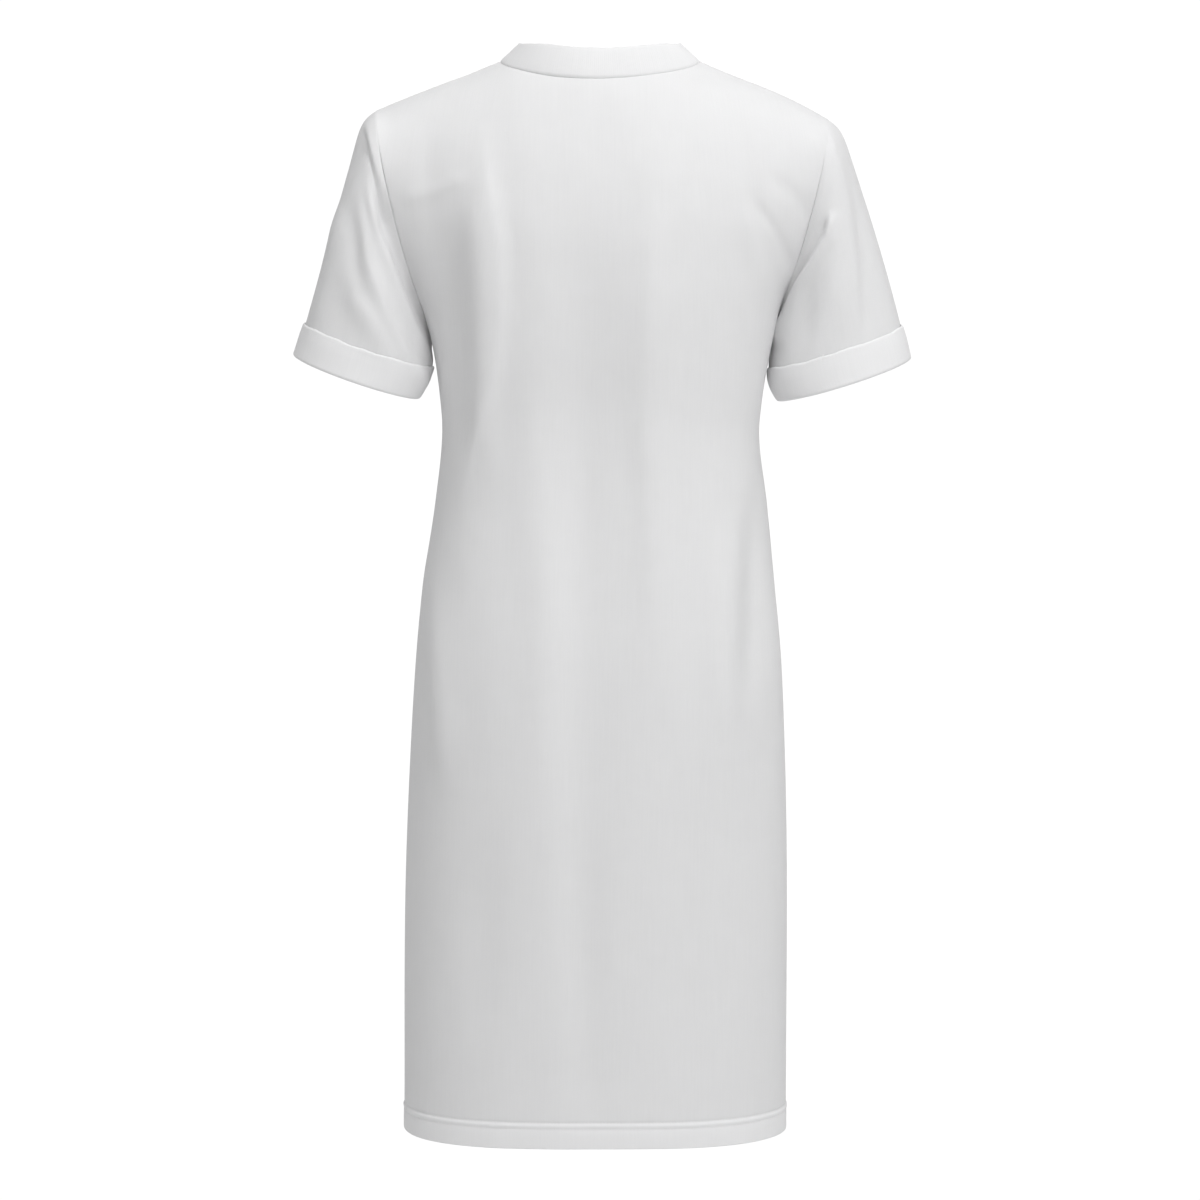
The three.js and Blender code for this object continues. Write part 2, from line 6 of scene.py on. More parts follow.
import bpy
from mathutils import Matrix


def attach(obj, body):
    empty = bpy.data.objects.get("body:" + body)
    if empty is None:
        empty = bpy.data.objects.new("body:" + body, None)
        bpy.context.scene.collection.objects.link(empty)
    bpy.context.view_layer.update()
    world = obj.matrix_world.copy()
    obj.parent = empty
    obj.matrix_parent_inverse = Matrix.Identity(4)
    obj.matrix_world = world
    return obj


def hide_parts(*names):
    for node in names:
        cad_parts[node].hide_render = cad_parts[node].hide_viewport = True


bl_info = {
    "name": "T-Shirt Dress",
    "version": (1, 0, 0),
    "blender": (4, 5, 0),
    "location": "3D View > Sidebar > Dress",
    "description": "Builds a jersey t-shirt dress with its seams, folds, turn-ups and stitching",
    "category": "Add Mesh",
}

import math

import bpy
import numpy as np
from mathutils import Vector, noise

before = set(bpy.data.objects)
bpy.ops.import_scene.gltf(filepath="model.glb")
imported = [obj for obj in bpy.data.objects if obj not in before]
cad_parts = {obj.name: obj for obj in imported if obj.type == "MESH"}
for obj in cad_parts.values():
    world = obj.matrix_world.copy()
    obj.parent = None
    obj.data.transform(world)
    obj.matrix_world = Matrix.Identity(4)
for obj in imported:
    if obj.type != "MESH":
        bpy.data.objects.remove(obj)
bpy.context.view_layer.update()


def named(columns, *rows):
    """Rows of a table with the names of their columns."""
    return [dict(zip(columns.split(), row)) for row in rows]


# ---- Form of the dress, the same as that of its solids ----

HEM_Z = -0.947
UNDERARM_Z = -0.240
NECK_HALF = 0.0885
SHOULDER_HALF = 0.200
SHOULDER_SHIFT = -0.002
SHOULDER_DROP = {"left": 0.0415, "right": 0.0495}
SHOULDER_ARCH = {"left": 0.0010, "right": 0.0035}
SHOULDER_ARCH_SHIFT = 1.6
NECK_RISE = 0.020
NECK_LIFT = 0.002
BAND_LEAN = {"side": 0.68, "back": 0.25, "front": 0.4}
NECK_SHARE = 0.27
SECTION_ROUND = 2.3

# Body sections: half width, depth behind and in front of the side seams, and the middle's place
BODY = named(
    "z half back front middle",
    (-0.240, 0.149, 0.102, 0.113, -0.001),
    (-0.282, 0.144, 0.097, 0.110, -0.001),
    (-0.330, 0.141, 0.0935, 0.107, -0.0005),
    (-0.390, 0.1475, 0.0975, 0.107, -0.001),
    (-0.460, 0.156, 0.1065, 0.110, 0.001),
    (-0.531, 0.1625, 0.115, 0.113, 0.0015),
    (-0.638, 0.1675, 0.118, 0.114, 0.0025),
    (-0.745, 0.170, 0.117, 0.113, 0.0035),
    (-0.947, 0.170, 0.114, 0.112, 0.0045),
)

PANELS = {
    "back": {"side": 1, "neck_cut": 0.26, "armhole_bulge": 0.027, "scoop": 0.0, "seed": 1.7},
    "front": {"side": -1, "neck_cut": 0.485, "armhole_bulge": 0.022, "scoop": 0.007, "seed": 4.1},
}
ARMHOLE_FLARE = 0.070
ARMHOLE_STRIP = {"flare": 4, "bulge": 3, "curve": 8, "scoop": 6}
ARMHOLE_CURVE = 1.2
SHOULDER_RISE = 0.25

CUFF_BEHIND_LOWER = 0.006
CUFF_COVER = 0.0027
SLEEVES = {
    "left": {"side": 1, "outer": (0.273, -0.258), "inner": (0.160, -0.297), "deep": 0.056, "flare": 0.066,
             "head": 0.0050, "seam_roll": 1.0, "seed": 6.3},
    "right": {"side": -1, "outer": (-0.277, -0.261), "inner": (-0.1575, -0.299), "deep": 0.057, "flare": 0.044,
              "head": 0.0040, "seam_roll": 0.4, "seed": 8.9},
}
SLEEVE_START = {"under": (0.008, 0.055), "over": (0.060, 0.060)}
SLEEVE_END = {"under": (0.048, 0.062), "over": 0.200}
SLEEVE_SPREAD = 0.034
SLEEVE_HEAD_AT = 0.14

# ---- Folds ----

# Soft folds that the solids have too: ends, half width, how far out, and the fade at either end
MAIN_FOLDS = {
    "back": named(
        "x0 z0 x1 z1 wide out fade",
        (0.108, -0.090, 0.096, -0.400, 0.015, 0.005, 0.090),
        (0.138, -0.110, 0.118, -0.380, 0.017, -0.005, 0.090),
        (0.016, -0.100, 0.020, -0.900, 0.024, -0.0035, 0.130),
        (-0.042, -0.110, -0.052, -0.620, 0.022, 0.003, 0.130),
        (0.052, -0.280, 0.032, -0.930, 0.022, 0.0025, 0.140),
        (-0.112, -0.390, -0.104, -0.640, 0.015, 0.004, 0.090),
        (-0.136, -0.370, -0.137, -0.570, 0.013, -0.004, 0.070),
        (0.142, -0.440, 0.139, -0.640, 0.014, 0.0035, 0.080),
        (-0.078, -0.560, -0.070, -0.930, 0.020, -0.0025, 0.120),
        (0.100, -0.640, 0.092, -0.930, 0.022, -0.0025, 0.120),
    ),
    "front": named(
        "x0 z0 x1 z1 wide out fade",
        (0.104, -0.150, 0.092, -0.420, 0.018, -0.004, 0.090),
        (-0.100, -0.140, -0.090, -0.440, 0.018, -0.0045, 0.090),
        (0.012, -0.240, 0.022, -0.880, 0.026, -0.003, 0.140),
        (-0.056, -0.340, -0.064, -0.900, 0.024, 0.003, 0.140),
        (0.074, -0.430, 0.080, -0.920, 0.022, 0.003, 0.130),
        (-0.128, -0.380, -0.132, -0.660, 0.015, 0.0035, 0.080),
        (0.130, -0.400, 0.134, -0.620, 0.015, 0.003, 0.080),
    ),
}

# Creases, listed one by one: half width towards the wearer's left and right, how far out (less than 0 is a
# trough), the fade at the ends, and the way from the upper to the lower end as (x, z)
CREASES = {
    "back": named(
        "left right out fade way",
        (0.026, 0.0110, 0.0028, 0.070,
         ((0.098, -0.110), (0.089, -0.165), (0.087, -0.230), (0.093, -0.280), (0.110, -0.335))),
        (0.016, 0.0050, 0.0014, 0.050,
         ((0.096, -0.120), (0.088, -0.165), (0.086, -0.230), (0.092, -0.280), (0.110, -0.345))),
        (0.013, 0.022, 0.0020, 0.050, ((-0.046, -0.110), (-0.044, -0.240), (-0.040, -0.330))),
        (0.008, 0.014, 0.0008, 0.030, ((-0.072, -0.140), (-0.068, -0.230))),
        (0.022, 0.017, 0.0015, 0.060, ((0.064, -0.260), (0.060, -0.380), (0.044, -0.480), (0.038, -0.900))),
        (0.010, 0.014, -0.0015, 0.070, ((0.150, -0.110), (0.146, -0.200), (0.140, -0.330))),
        (0.007, 0.005, -0.0022, 0.030, ((-0.144, -0.138), (-0.154, -0.152), (-0.164, -0.172))),
        (0.008, 0.006, -0.0013, 0.028, ((-0.160, -0.112), (-0.172, -0.122), (-0.182, -0.136))),
        (0.008, 0.008, 0.0016, 0.030, ((-0.128, -0.150), (-0.150, -0.215), (-0.152, -0.270))),
        (0.007, 0.009, 0.0016, 0.016, ((0.162, -0.122), (0.142, -0.116), (0.126, -0.109))),
        (0.014, 0.010, -0.0018, 0.090, ((-0.138, -0.400), (-0.132, -0.500))),
        (0.046, 0.050, -0.0037, 0.060, ((0.024, -0.070), (0.016, -0.500), (0.018, -0.880))),
        (0.012, 0.026, 0.0022, 0.070, ((-0.042, -0.370), (-0.046, -0.450))),
        (0.014, 0.022, 0.0022, 0.070, ((-0.098, -0.460), (-0.104, -0.620))),
        (0.010, 0.012, 0.0014, 0.050, ((0.146, -0.470), (0.139, -0.600))),
        (0.016, 0.022, 0.0013, 0.080, ((0.068, -0.620), (0.088, -0.860))),
        (0.018, 0.012, 0.0009, 0.060, ((-0.006, -0.700), (-0.014, -0.900))),
    ),
    "front": named(
        "left right out fade way",
        (0.010, 0.007, 0.0018, 0.050, ((0.120, -0.150), (0.100, -0.210), (0.090, -0.300))),
        (0.007, 0.011, 0.0018, 0.050, ((-0.128, -0.140), (-0.104, -0.200), (-0.096, -0.290))),
        (0.006, 0.005, -0.0018, 0.020, ((0.150, -0.170), (0.130, -0.205))),
        (0.005, 0.006, -0.0018, 0.020, ((-0.152, -0.165), (-0.130, -0.205))),
    ),
}

# Soft folds round the sleeves that the solids have too: turn is the place round the tube in degrees
SLEEVE_FOLDS = {
    "left": named(
        "turn from to wide out",
        (150, 0.05, 0.80, 13, 0.0025),
        (118, 0.10, 0.92, 15, -0.0035),
        (84, 0.20, 0.90, 13, 0.0025),
        (236, 0.15, 0.90, 18, -0.003),
    ),
    "right": named(
        "turn from to wide out",
        (140, 0.05, 0.95, 13, -0.003),
        (100, 0.15, 0.85, 16, 0.0025),
        (60, 0.15, 0.80, 14, -0.003),
        (240, 0.10, 0.90, 18, -0.003),
    ),
}

# Finer creases on the sleeves, given like those of the panels, on the half behind (1) or before (-1)
SLEEVE_CREASES = {
    "left": named(
        "face left right out fade way",
        (1, 0.012, 0.008, 0.0028, 0.042,
         ((0.2263, -0.155), (0.2237, -0.187), (0.2166, -0.2095), (0.1973, -0.236), (0.1880, -0.252))),
        (1, 0.007, 0.0062, 0.0029, 0.052,
         ((0.2087, -0.148), (0.2035, -0.178), (0.1929, -0.206), (0.1859, -0.227), (0.1660, -0.266))),
        (1, 0.0055, 0.0048, 0.0030, 0.040,
         ((0.1965, -0.138), (0.1867, -0.169), (0.1779, -0.190), (0.1674, -0.2165), (0.1520, -0.262))),
        (1, 0.008, 0.010, 0.0015, 0.040, ((0.2220, -0.110), (0.2400, -0.175), (0.2480, -0.215))),
        (-1, 0.009, 0.006, 0.0018, 0.035, ((0.1950, -0.120), (0.1850, -0.170), (0.1720, -0.230))),
        (-1, 0.009, 0.007, -0.0016, 0.035, ((0.2200, -0.140), (0.2120, -0.190), (0.2000, -0.235))),
    ),
    "right": named(
        "face left right out fade way",
        (1, 0.0028, 0.0075, 0.0046, 0.014,
         ((-0.2005, -0.145), (-0.1985, -0.156), (-0.1868, -0.178), (-0.1745, -0.196),
          (-0.1650, -0.216), (-0.1550, -0.240))),
        (1, 0.0050, 0.0090, -0.0016, 0.030,
         ((-0.2090, -0.068), (-0.2193, -0.090), (-0.2280, -0.124), (-0.2315, -0.164), (-0.2324, -0.220))),
        (1, 0.0040, 0.0030, -0.0026, 0.014, ((-0.1935, -0.150), (-0.1800, -0.176), (-0.1680, -0.196))),
        (1, 0.0080, 0.0080, 0.0012, 0.030, ((-0.2080, -0.170), (-0.2030, -0.205), (-0.1900, -0.240))),
        (-1, 0.006, 0.010, 0.0020, 0.030, ((-0.2000, -0.130), (-0.1880, -0.170), (-0.1720, -0.225))),
        (-1, 0.008, 0.008, -0.0016, 0.035, ((-0.2250, -0.120), (-0.2260, -0.170), (-0.2180, -0.230))),
    ),
}

# The sleeves' heads drop away beyond an edge, whose distance from the seam grows with the turn
HEAD_EDGE = {
    "left": {"from": 66, "full": 88, "fades": 148, "to": 172, "per_turn": 0.000125, "drop": 0.0050, "wide": 0.0072},
    "right": {"from": 84, "full": 108, "fades": 140, "to": 168, "per_turn": 0.00015, "drop": 0.0010, "wide": 0.009},
}
HEAD_RECOVERY = 0.055
# Where the sleeves dive in beside the armhole's lower half, at this distance from the seam
SEAM_DIP = {
    "left": {"from": 12, "full": 34, "fades": 72, "to": 112, "at": 0.0085, "deep": 0.0074},
    "right": {"from": 12, "full": 30, "fades": 40, "to": 70, "at": 0.006, "deep": 0.0016},
}

# How near the side edges of a panel its folds and creases start, as shares of its half width
FOLD_FREE_EDGE = 0.125
CREASE_FREE_EDGE = 0.05
# How far a sleeve's creases start from the armhole, and how they fade towards its other half
SLEEVE_CREASE_START = {"run": 0.012, "facing": 0.3}
# The cloth's slow unevenness is drawn out in height; each layer has its height, length and part of the noise
NOISE_STRETCH = (1.0, 1.0, 0.3)
PANEL_UNEVEN = ((0.0015, 0.075, 0), (0.0006, 0.030, 9))
SLEEVE_UNEVEN = ((0.0007, 0.045, 0),)
# The share of a sleeve's length over which its unevenness sets in
SLEEVE_CALM = 0.15

# The hem's relief: the doubled layer, the grooves of its stitches, the tunnel between them, the puckers
HEM = {
    "layer": 0.0006, "layer_fade": 0.002, "groove": 0.00055, "upper_groove": 0.0011, "lower_groove": 0.0010,
    "tunnel": 0.00035, "tunnel_wide": 0.0016, "pucker": 0.00022, "pucker_up": 0.014, "pucker_down": 0.010,
    "end": 0.0015, "end_fade": 0.002, "second_layer": 0.9,
    "sway_reach": 0.090, "side_lift": 0.0025, "wave": 0.0006,
}
# Lengths along the hem of what comes and goes there, and how far the puckers drift
HEM_LENGTHS = {"long": 0.047, "short": 0.023, "pucker": 0.0021, "drift": 0.031, "wave": 0.041}
PUCKER_DRIFT = 2.3
# Each panel's flat width, length and area
PANEL_CUTS = {"back": (0.455, 0.985, 0.416), "front": (0.450, 0.955, 0.409)}
# The neckband: softness over the shoulders, more height behind, start, bulge, foot, and fade of the ribs
BAND = {
    "soft": 0.010, "soft_by": 0.6, "taller_behind": 0.0036, "taller_spread": 1.3, "start": 0.0003,
    "bulge": 0.0006, "root": 0.0002, "rib_from": 0.10, "rib_fades": 0.85, "rib_fade": 0.15, "rib_loss": 0.4,
}
BAND_FOOT = ((0.0014, 0.0020), (0.0004, 0.0010))
# The cuffs: rows near the upper edge, which rolls in; its lift, its uneven line, and the turn below
CUFF_EDGE_PLACES = (0, 0.15, 0.35, 0.6)
CUFF_EDGE = {"deep": 0.0009, "wide": 0.0015, "lift": 0.0016, "lift_by": 0.012, "wave_by": 0.006}
CUFF_WAVES = ((0.0006, 9, 1.3, 4, 0.7), (0.00025, 29, 0, 13, 0.4))
CUFF_GAP = 0.0002
CUFF_TURN_STEPS = 9
CUFF_INSIDE_ROWS = (0.003, 0.006, 0.009)
# The tack over the right cuff's upper edge: where it is, and how each thread goes down and out
CUFF_TACK = {"x": -0.1965, "threads": 3, "apart": 0.00042, "stitch": 0.0016}
TACK_WAY = ((-0.0016, 0.0001), (-0.0004, 0.0012), (0.0006, 0.0021), (0.0030, 0.0024))

# ---- Fineness of the meshes ----

SHOULDER_COLUMNS = 50
NECK_COLUMNS = 46
YOKE_ROWS = 88
HEM_ROWS = (0, 0.0004, 0.0012, 0.0026)
BODY_STEP = 0.0042
STITCHED_STEP = 0.0007
STITCHED_REACH = 0.005
SLEEVE_OPEN_ROWS = 92
SLEEVE_LINE_STEPS = 160
SLEEVE_OPEN_SHARE = 7 / 9
CUFF_ROWS = 18
NECKLINE_STEPS = 600
BAND_COLUMNS = 1152
BAND_ROWS = 12
RIM_STEPS = 4
# Where more lines are put in close to an edge that rolls into a seam, and how deep it goes
EDGE_SHARES = (0.06, 0.14, 0.25)
ROLL_DEPTH = 0.0016
# Where the bend of the cloth from row to row is rounded off, and over which length
EASINGS = named("z length zone axes", (-0.240, 0.030, 0.085, (0, 1, 2)), (-0.335, 0.032, 0.130, (1,)))
# How far down the body's slope at the underarm is taken
JUST_BELOW = 0.001
# The column beside each of a panel's edge columns
BESIDE = {0: 1, -1: -2}

LIE = "cloth_lie"
FACING = "stitch_facing"

# ---- Looks, light and camera ----

# How much of the light a single layer gives back, compared with a doubled one
SINGLE_LAYER = 0.92
# The cloth's colour holds painted shade, darker in the valleys between the knit's loops
CLOTH = {
    "sheen": 0.12, "sheen_roughness": 0.55, "specular": 0.25, "bump": 0.35, "bump_height": 0.00018,
    "dark": 0.955, "light": 1.03, "valley": 0.93, "loop_painted_shade": 0.10, "fuzz_relief": 0.35, "fuzz_rough": 0.10,
}
JERSEY = {"roughness": 0.86, "loops": {"Loop Width": 0.00075, "Loop Height": 0.0006}}
RIB = {"roughness": 0.88, "loops": {"Loop Width": 0.0019, "Loop Height": 0.0008}}
# How the knit's relief, and the painted shade that follows it in the colour, swings from loop to loop, and how
# streaks and mottling share in the tone
LOOP = {"swing": 0.28, "middle": 0.72}
TONE = {"streak": 0.6, "mottle": 0.4, "fuzz_scale": 2600.0}
# The thread's look; dark is the painted shade in the grooves of its twist
THREAD = {
    "dark": 0.9, "twist": 900.0, "wander": 0.6, "bump": 0.4, "bump_height": 0.00008, "roughness": 0.6,
    "sheen": 0.1, "flat": 0.8, "lift": 0.4,
}
LIGHTS = named(
    "name place target size power",
    ("key_light", (-1.9, 3.0, 1.50), (0.0, 0.05, -0.30), 0.9, 46.0),
    ("top_light", (-0.2, 1.0, 2.1), (0.0, 0.0, -0.2), 1.6, 26.0),
    ("fill_light", (2.6, 1.4, 0.2), (0.0, 0.05, -0.5), 1.6, 2.5),
)
SKY = {"seen": 1.05, "level": 0.48, "rise": 0.25, "least": 0.30}
FLOOR = {
    "half": 30.0, "z": -1.45, "glow": 1.1, "clouds": 1.5, "dark": 0.99, "roughness": 0.9, "specular": 0.1}
CAMERA = {"away": 3.5, "height": -0.327, "lens": 118.0, "shift": -0.06, "tilt": 1.40}


# ---- Sizes and colours that a user would change ----

def length_prop(name, description, default, low, high):
    """A length that a user would change."""
    return bpy.props.FloatProperty(
        name=name, description=description, default=default, min=low, max=high, unit="LENGTH")


def colour_prop(name, description, default):
    """A colour that a user would change."""
    return bpy.props.FloatVectorProperty(
        name=name, description=description, default=default, size=3, min=0.0, max=1.0, subtype="COLOR")


class DressSizes(bpy.types.PropertyGroup):
    """Sizes of the cloth and its sewing."""
    cloth: length_prop("Jersey Thickness", "Thickness of one layer of the jersey", 0.0009, 0.0003, 0.0015)
    hem_depth: length_prop("Hem Depth", "From the hem's fold up to its upper row of stitches", 0.022, 0.010, 0.040)
    hem_rows_apart: length_prop(
        "Hem Rows Apart", "Distance between the hem's two rows of stitches", 0.0055, 0.003, 0.008)
    stitch_length: length_prop(
        "Stitch Length", "Length of one stitch of the hem with its gap", 0.0030, 0.0015, 0.005)
    thread: length_prop("Thread Radius", "Half the thickness of the sewing thread", 0.00022, 0.0001, 0.0005)
    seam_roll: length_prop("Seam Roll", "Radius over which cloth rolls in at a seam", 0.0010, 0.0004, 0.002)
    armhole_roll: length_prop(
        "Armhole Roll", "Radius over which cloth rolls in at the armholes and side seams", 0.0006, 0.0003, 0.002)
    cuff_depth: length_prop("Cuff Depth", "Height of the turned-up cuffs", 0.030, 0.015, 0.050)
    cuff_cloth: length_prop("Cuff Thickness", "Thickness of the turned-up layer of a cuff", 0.0010, 0.0005, 0.002)
    band_height: length_prop("Neckband Height", "Height of the neckband above its seam", 0.024, 0.015, 0.035)
    band_cloth: length_prop("Neckband Thickness", "Thickness of the doubled rib knit", 0.0022, 0.001, 0.003)
    rib_pitch: length_prop("Rib Pitch", "Distance from one rib of the neckband to the next", 0.0019, 0.001, 0.004)
    rib_depth: length_prop("Rib Depth", "How far the neckband's ribs stand out", 0.00007, 0.0, 0.0005)


class DressColours(bpy.types.PropertyGroup):
    """Colours of the cloth, thread and floor."""
    jersey: colour_prop("Jersey", "Colour of the jersey", (0.86, 0.86, 0.865))
    rib_knit: colour_prop("Rib Knit", "Colour of the neckband's rib knit", (0.83, 0.83, 0.835))
    thread: colour_prop("Thread", "Colour of the sewing thread", (0.90, 0.90, 0.90))
    floor: colour_prop("Floor", "Colour of the studio floor", (0.95, 0.95, 0.95))


# ---- Curves, grids and sections ----

def hermite(start, end, leave, arrive, t):
    """A curve from start to end with a given direction at either end, at t from 0 to 1."""
    t2 = t * t
    t3 = t2 * t
    return ((2 * t3 - 3 * t2 + 1) * start + (t3 - 2 * t2 + t) * leave
            + (3 * t2 - 2 * t3) * end + (t3 - t2) * arrive)


def mix(a, b, share):
    return a + (b - a) * share


def unit(vectors):
    length = np.linalg.norm(vectors, axis=-1, keepdims=True)
    return vectors / np.maximum(length, 1e-12)


def dot(a, b):
    return (a * b).sum(axis=-1, keepdims=True)


def bell(value):
    return np.exp(-value * value)


def smooth_step(value):
    t = np.clip(value, 0, 1)
    return t * t * (3 - 2 * t)


def travelled(points, axis=0):
    """How far each point of a grid is from the first one along its line."""
    steps = np.linalg.norm(np.diff(points, axis=axis), axis=-1)
    return np.concatenate([np.zeros_like(steps.take([0], axis)), np.cumsum(steps, axis)], axis)


def across_neighbours(points, axis=0, closed=False):
    """From the point before each point of a grid to the one after it, along an axis."""
    if closed:
        return np.roll(points, -1, axis) - np.roll(points, 1, axis)
    lines = np.moveaxis(points, axis, 0)
    ways = [(lines[1] - lines[0])[None], lines[2:] - lines[:-2], (lines[-1] - lines[-2])[None]]
    return np.moveaxis(np.concatenate(ways), 0, axis)


def surface_normals(points, closed, turned):
    """Normals of a grid of points from its neighbours; a closed grid wraps round its columns."""
    return unit(np.cross(across_neighbours(points, 1, closed), across_neighbours(points))) * turned


def body_size(key, z):
    """A column of the body table at heights z, as a smooth curve through its rows."""
    heights, values = (np.array([row[column] for row in BODY]) for column in ("z", key))
    above = np.maximum(np.arange(len(BODY)) - 1, 0)
    below = np.minimum(np.arange(len(BODY)) + 1, len(BODY) - 1)
    slopes = (values[below] - values[above]) / (heights[below] - heights[above])
    row = np.clip(np.searchsorted(-heights, -z, side="left") - 1, 0, len(BODY) - 2)
    step = heights[row + 1] - heights[row]
    share = (z - heights[row]) / step
    return hermite(values[row], values[row + 1], slopes[row] * step, slopes[row + 1] * step, share)


def rounded_turn(value):
    return np.sign(value) * np.abs(value) ** (2 / SECTION_ROUND)


def body_point(panel, across, z):
    """Points of a panel below the underarm; across runs from -1 to 1 between the side seams."""
    across, z = np.broadcast_arrays(across, z)
    turn = across * math.pi / 2
    depth = "back" if panel["side"] > 0 else "front"
    x = body_size("middle", z) + body_size("half", z) * rounded_turn(np.sin(turn))
    y = panel["side"] * body_size(depth, z) * rounded_turn(np.maximum(np.cos(turn), 0))
    return np.stack([x, y, z], axis=-1)


def shoulder_line(across):
    """The line over the shoulders, carried on across the neck, where the cloth is cut off."""
    share = np.abs(across)
    inwards = np.minimum(share / NECK_SHARE, 1)
    out = np.maximum(share - NECK_SHARE, 0) / (1 - NECK_SHARE)
    drop, arch = (np.where(across > 0, part["left"], part["right"]) for part in (SHOULDER_DROP, SHOULDER_ARCH))
    arch = arch * np.sin(math.pi * out ** SHOULDER_ARCH_SHIFT)
    neck_x = np.sign(across) * NECK_HALF * inwards
    seam_x = np.sign(across) * mix(NECK_HALF, SHOULDER_HALF, out) + SHOULDER_SHIFT * out
    x = np.where(share < NECK_SHARE, neck_x, seam_x)
    z = np.where(share < NECK_SHARE, NECK_RISE * (1 - inwards * inwards), arch - drop * out)
    return np.stack([x, np.zeros_like(x), z + NECK_LIFT * (1 - out) ** 2], axis=-1)


def yoke_point(panel, across, up):
    """Points of a panel above the underarm; up runs from 0 there to 1 at its upper edge."""
    across, up = np.broadcast_arrays(across, up)
    share = np.abs(across)
    inwards = np.minimum(share / NECK_SHARE, 1)
    way = up * (1 - panel["neck_cut"] * np.sqrt(1 - inwards * inwards))
    start = body_point(panel, across, np.full_like(across, UNDERARM_Z))
    end = shoulder_line(across)
    length = np.linalg.norm(end - start, axis=-1, keepdims=True)
    lower = body_point(panel, across, np.full_like(across, UNDERARM_Z - JUST_BELOW))
    leave = unit(start - lower) * length
    leave[..., 0] += np.sign(across) * ARMHOLE_FLARE * share ** ARMHOLE_STRIP["flare"]
    arrive = unit(np.array([0.0, -panel["side"], SHOULDER_RISE])) * length
    point = hermite(start, end, leave, arrive, way[..., None])
    hump = 4 * way * (1 - way)
    sharpness = 2 - ARMHOLE_CURVE * share ** ARMHOLE_STRIP["curve"]
    bulge = panel["armhole_bulge"] * share ** ARMHOLE_STRIP["bulge"]
    point[..., 1] += panel["side"] * bulge * np.maximum(hump, 0) ** sharpness
    scoop = panel["scoop"] * share ** ARMHOLE_STRIP["scoop"] * hump * hump
    point[..., 0] -= np.sign(across) * scoop
    return point


# ---- Folds ----

def main_fold_height(folds, x, z):
    height = np.zeros_like(x)
    for fold in folds:
        share = (z - fold["z0"]) / (fold["z1"] - fold["z0"])
        apart = (x - mix(fold["x0"], fold["x1"], share)) / fold["wide"]
        ends = smooth_step((fold["z0"] - z) / fold["fade"]) * smooth_step((z - fold["z1"]) / fold["fade"])
        height += fold["out"] * bell(apart) * ends
    return height


def crease_height(creases, x, z):
    """Height of the creases: each is a soft ridge or trough along its way in the plane of x and z."""
    height = np.zeros_like(x)
    for crease in creases:
        way = np.array(crease["way"])
        spans = np.linalg.norm(np.diff(way, axis=0), axis=1)
        nearest = np.full_like(x, np.inf)
        aside, along = np.zeros_like(x), np.zeros_like(x)
        for k, span in enumerate(spans):
            run_x, run_z = (way[k + 1] - way[k]) / span
            from_x, from_z = x - way[k, 0], z - way[k, 1]
            low = -np.inf if k == 0 else 0
            high = np.inf if k == len(spans) - 1 else span
            place = np.clip(from_x * run_x + from_z * run_z, low, high)
            off_x, off_z = from_x - place * run_x, from_z - place * run_z
            distance = np.hypot(off_x, off_z)
            nearer = distance < nearest
            nearest = np.where(nearer, distance, nearest)
            aside = np.where(nearer, run_x * off_z - run_z * off_x, aside)
            along = np.where(nearer, place + spans[:k].sum(), along)
        width = np.where(aside > 0, crease["left"], crease["right"])
        ends = smooth_step((along + crease["fade"]) / crease["fade"])
        ends *= smooth_step((spans.sum() + crease["fade"] - along) / crease["fade"])
        height += crease["out"] * bell(nearest / width) * ends
    return height


def slow_unevenness(points, layers, seed):
    """Soft noise over a grid of points, drawn out along the height of the dress."""
    total = 0
    for high, scale, shift in layers:
        flat = (points * (np.array(NOISE_STRETCH) / scale)).reshape(-1, 3) + (seed + shift)
        total = total + high * np.array([noise.noise(Vector(point)) for point in flat])
    return total.reshape(points.shape[:-1])


# ---- The body's two panels ----

def stitch_heights(sizes):
    upper = HEM_Z + sizes.hem_depth
    return upper, upper - sizes.hem_rows_apart


def body_heights(sizes):
    rows = stitch_heights(sizes)
    heights = [HEM_Z + row for row in HEM_ROWS]
    while heights[-1] < UNDERARM_Z - BODY_STEP:
        near = min(abs(heights[-1] - row) for row in rows) < STITCHED_REACH
        heights.append(heights[-1] + (STITCHED_STEP if near else BODY_STEP))
    return np.array(heights)


def panel_columns():
    """Places across a panel: evenly spread ones for the body and ones for the oval neckline."""
    wing = np.linspace(-1, -NECK_SHARE, SHOULDER_COLUMNS + 1)[:-1]
    step = np.linspace(0, 1, NECK_COLUMNS + 1)
    middles = NECK_SHARE * (2 * step - 1), -NECK_SHARE * np.cos(math.pi * step)
    return [np.concatenate([wing, middle, -wing[::-1]])[None, :] for middle in middles]


def ease_grid(points, ease):
    """Rounds off the bend of a panel's rows at one height, leaving the side edges in place."""
    middle = points[:, points.shape[1] // 2]
    distance = travelled(middle)
    distance = distance - distance[np.argmin(np.abs(middle[:, 2] - ease["z"]))]
    zone = np.where(np.abs(distance) < ease["zone"] + 3 * ease["length"])[0]
    eased = points.copy()
    for row in zone[np.abs(distance[zone]) < ease["zone"]]:
        weights = np.exp(-((distance[zone] - distance[row]) / ease["length"]) ** 2 / 2)
        mean = np.tensordot(weights / weights.sum(), points[zone], axes=(0, 0))
        share = smooth_step((ease["zone"] - abs(distance[row])) / ease["zone"] * 2)
        for axis in ease["axes"]:
            eased[row, 1:-1, axis] = mix(points[row, 1:-1, axis], mean[1:-1, axis], share)
    return eased


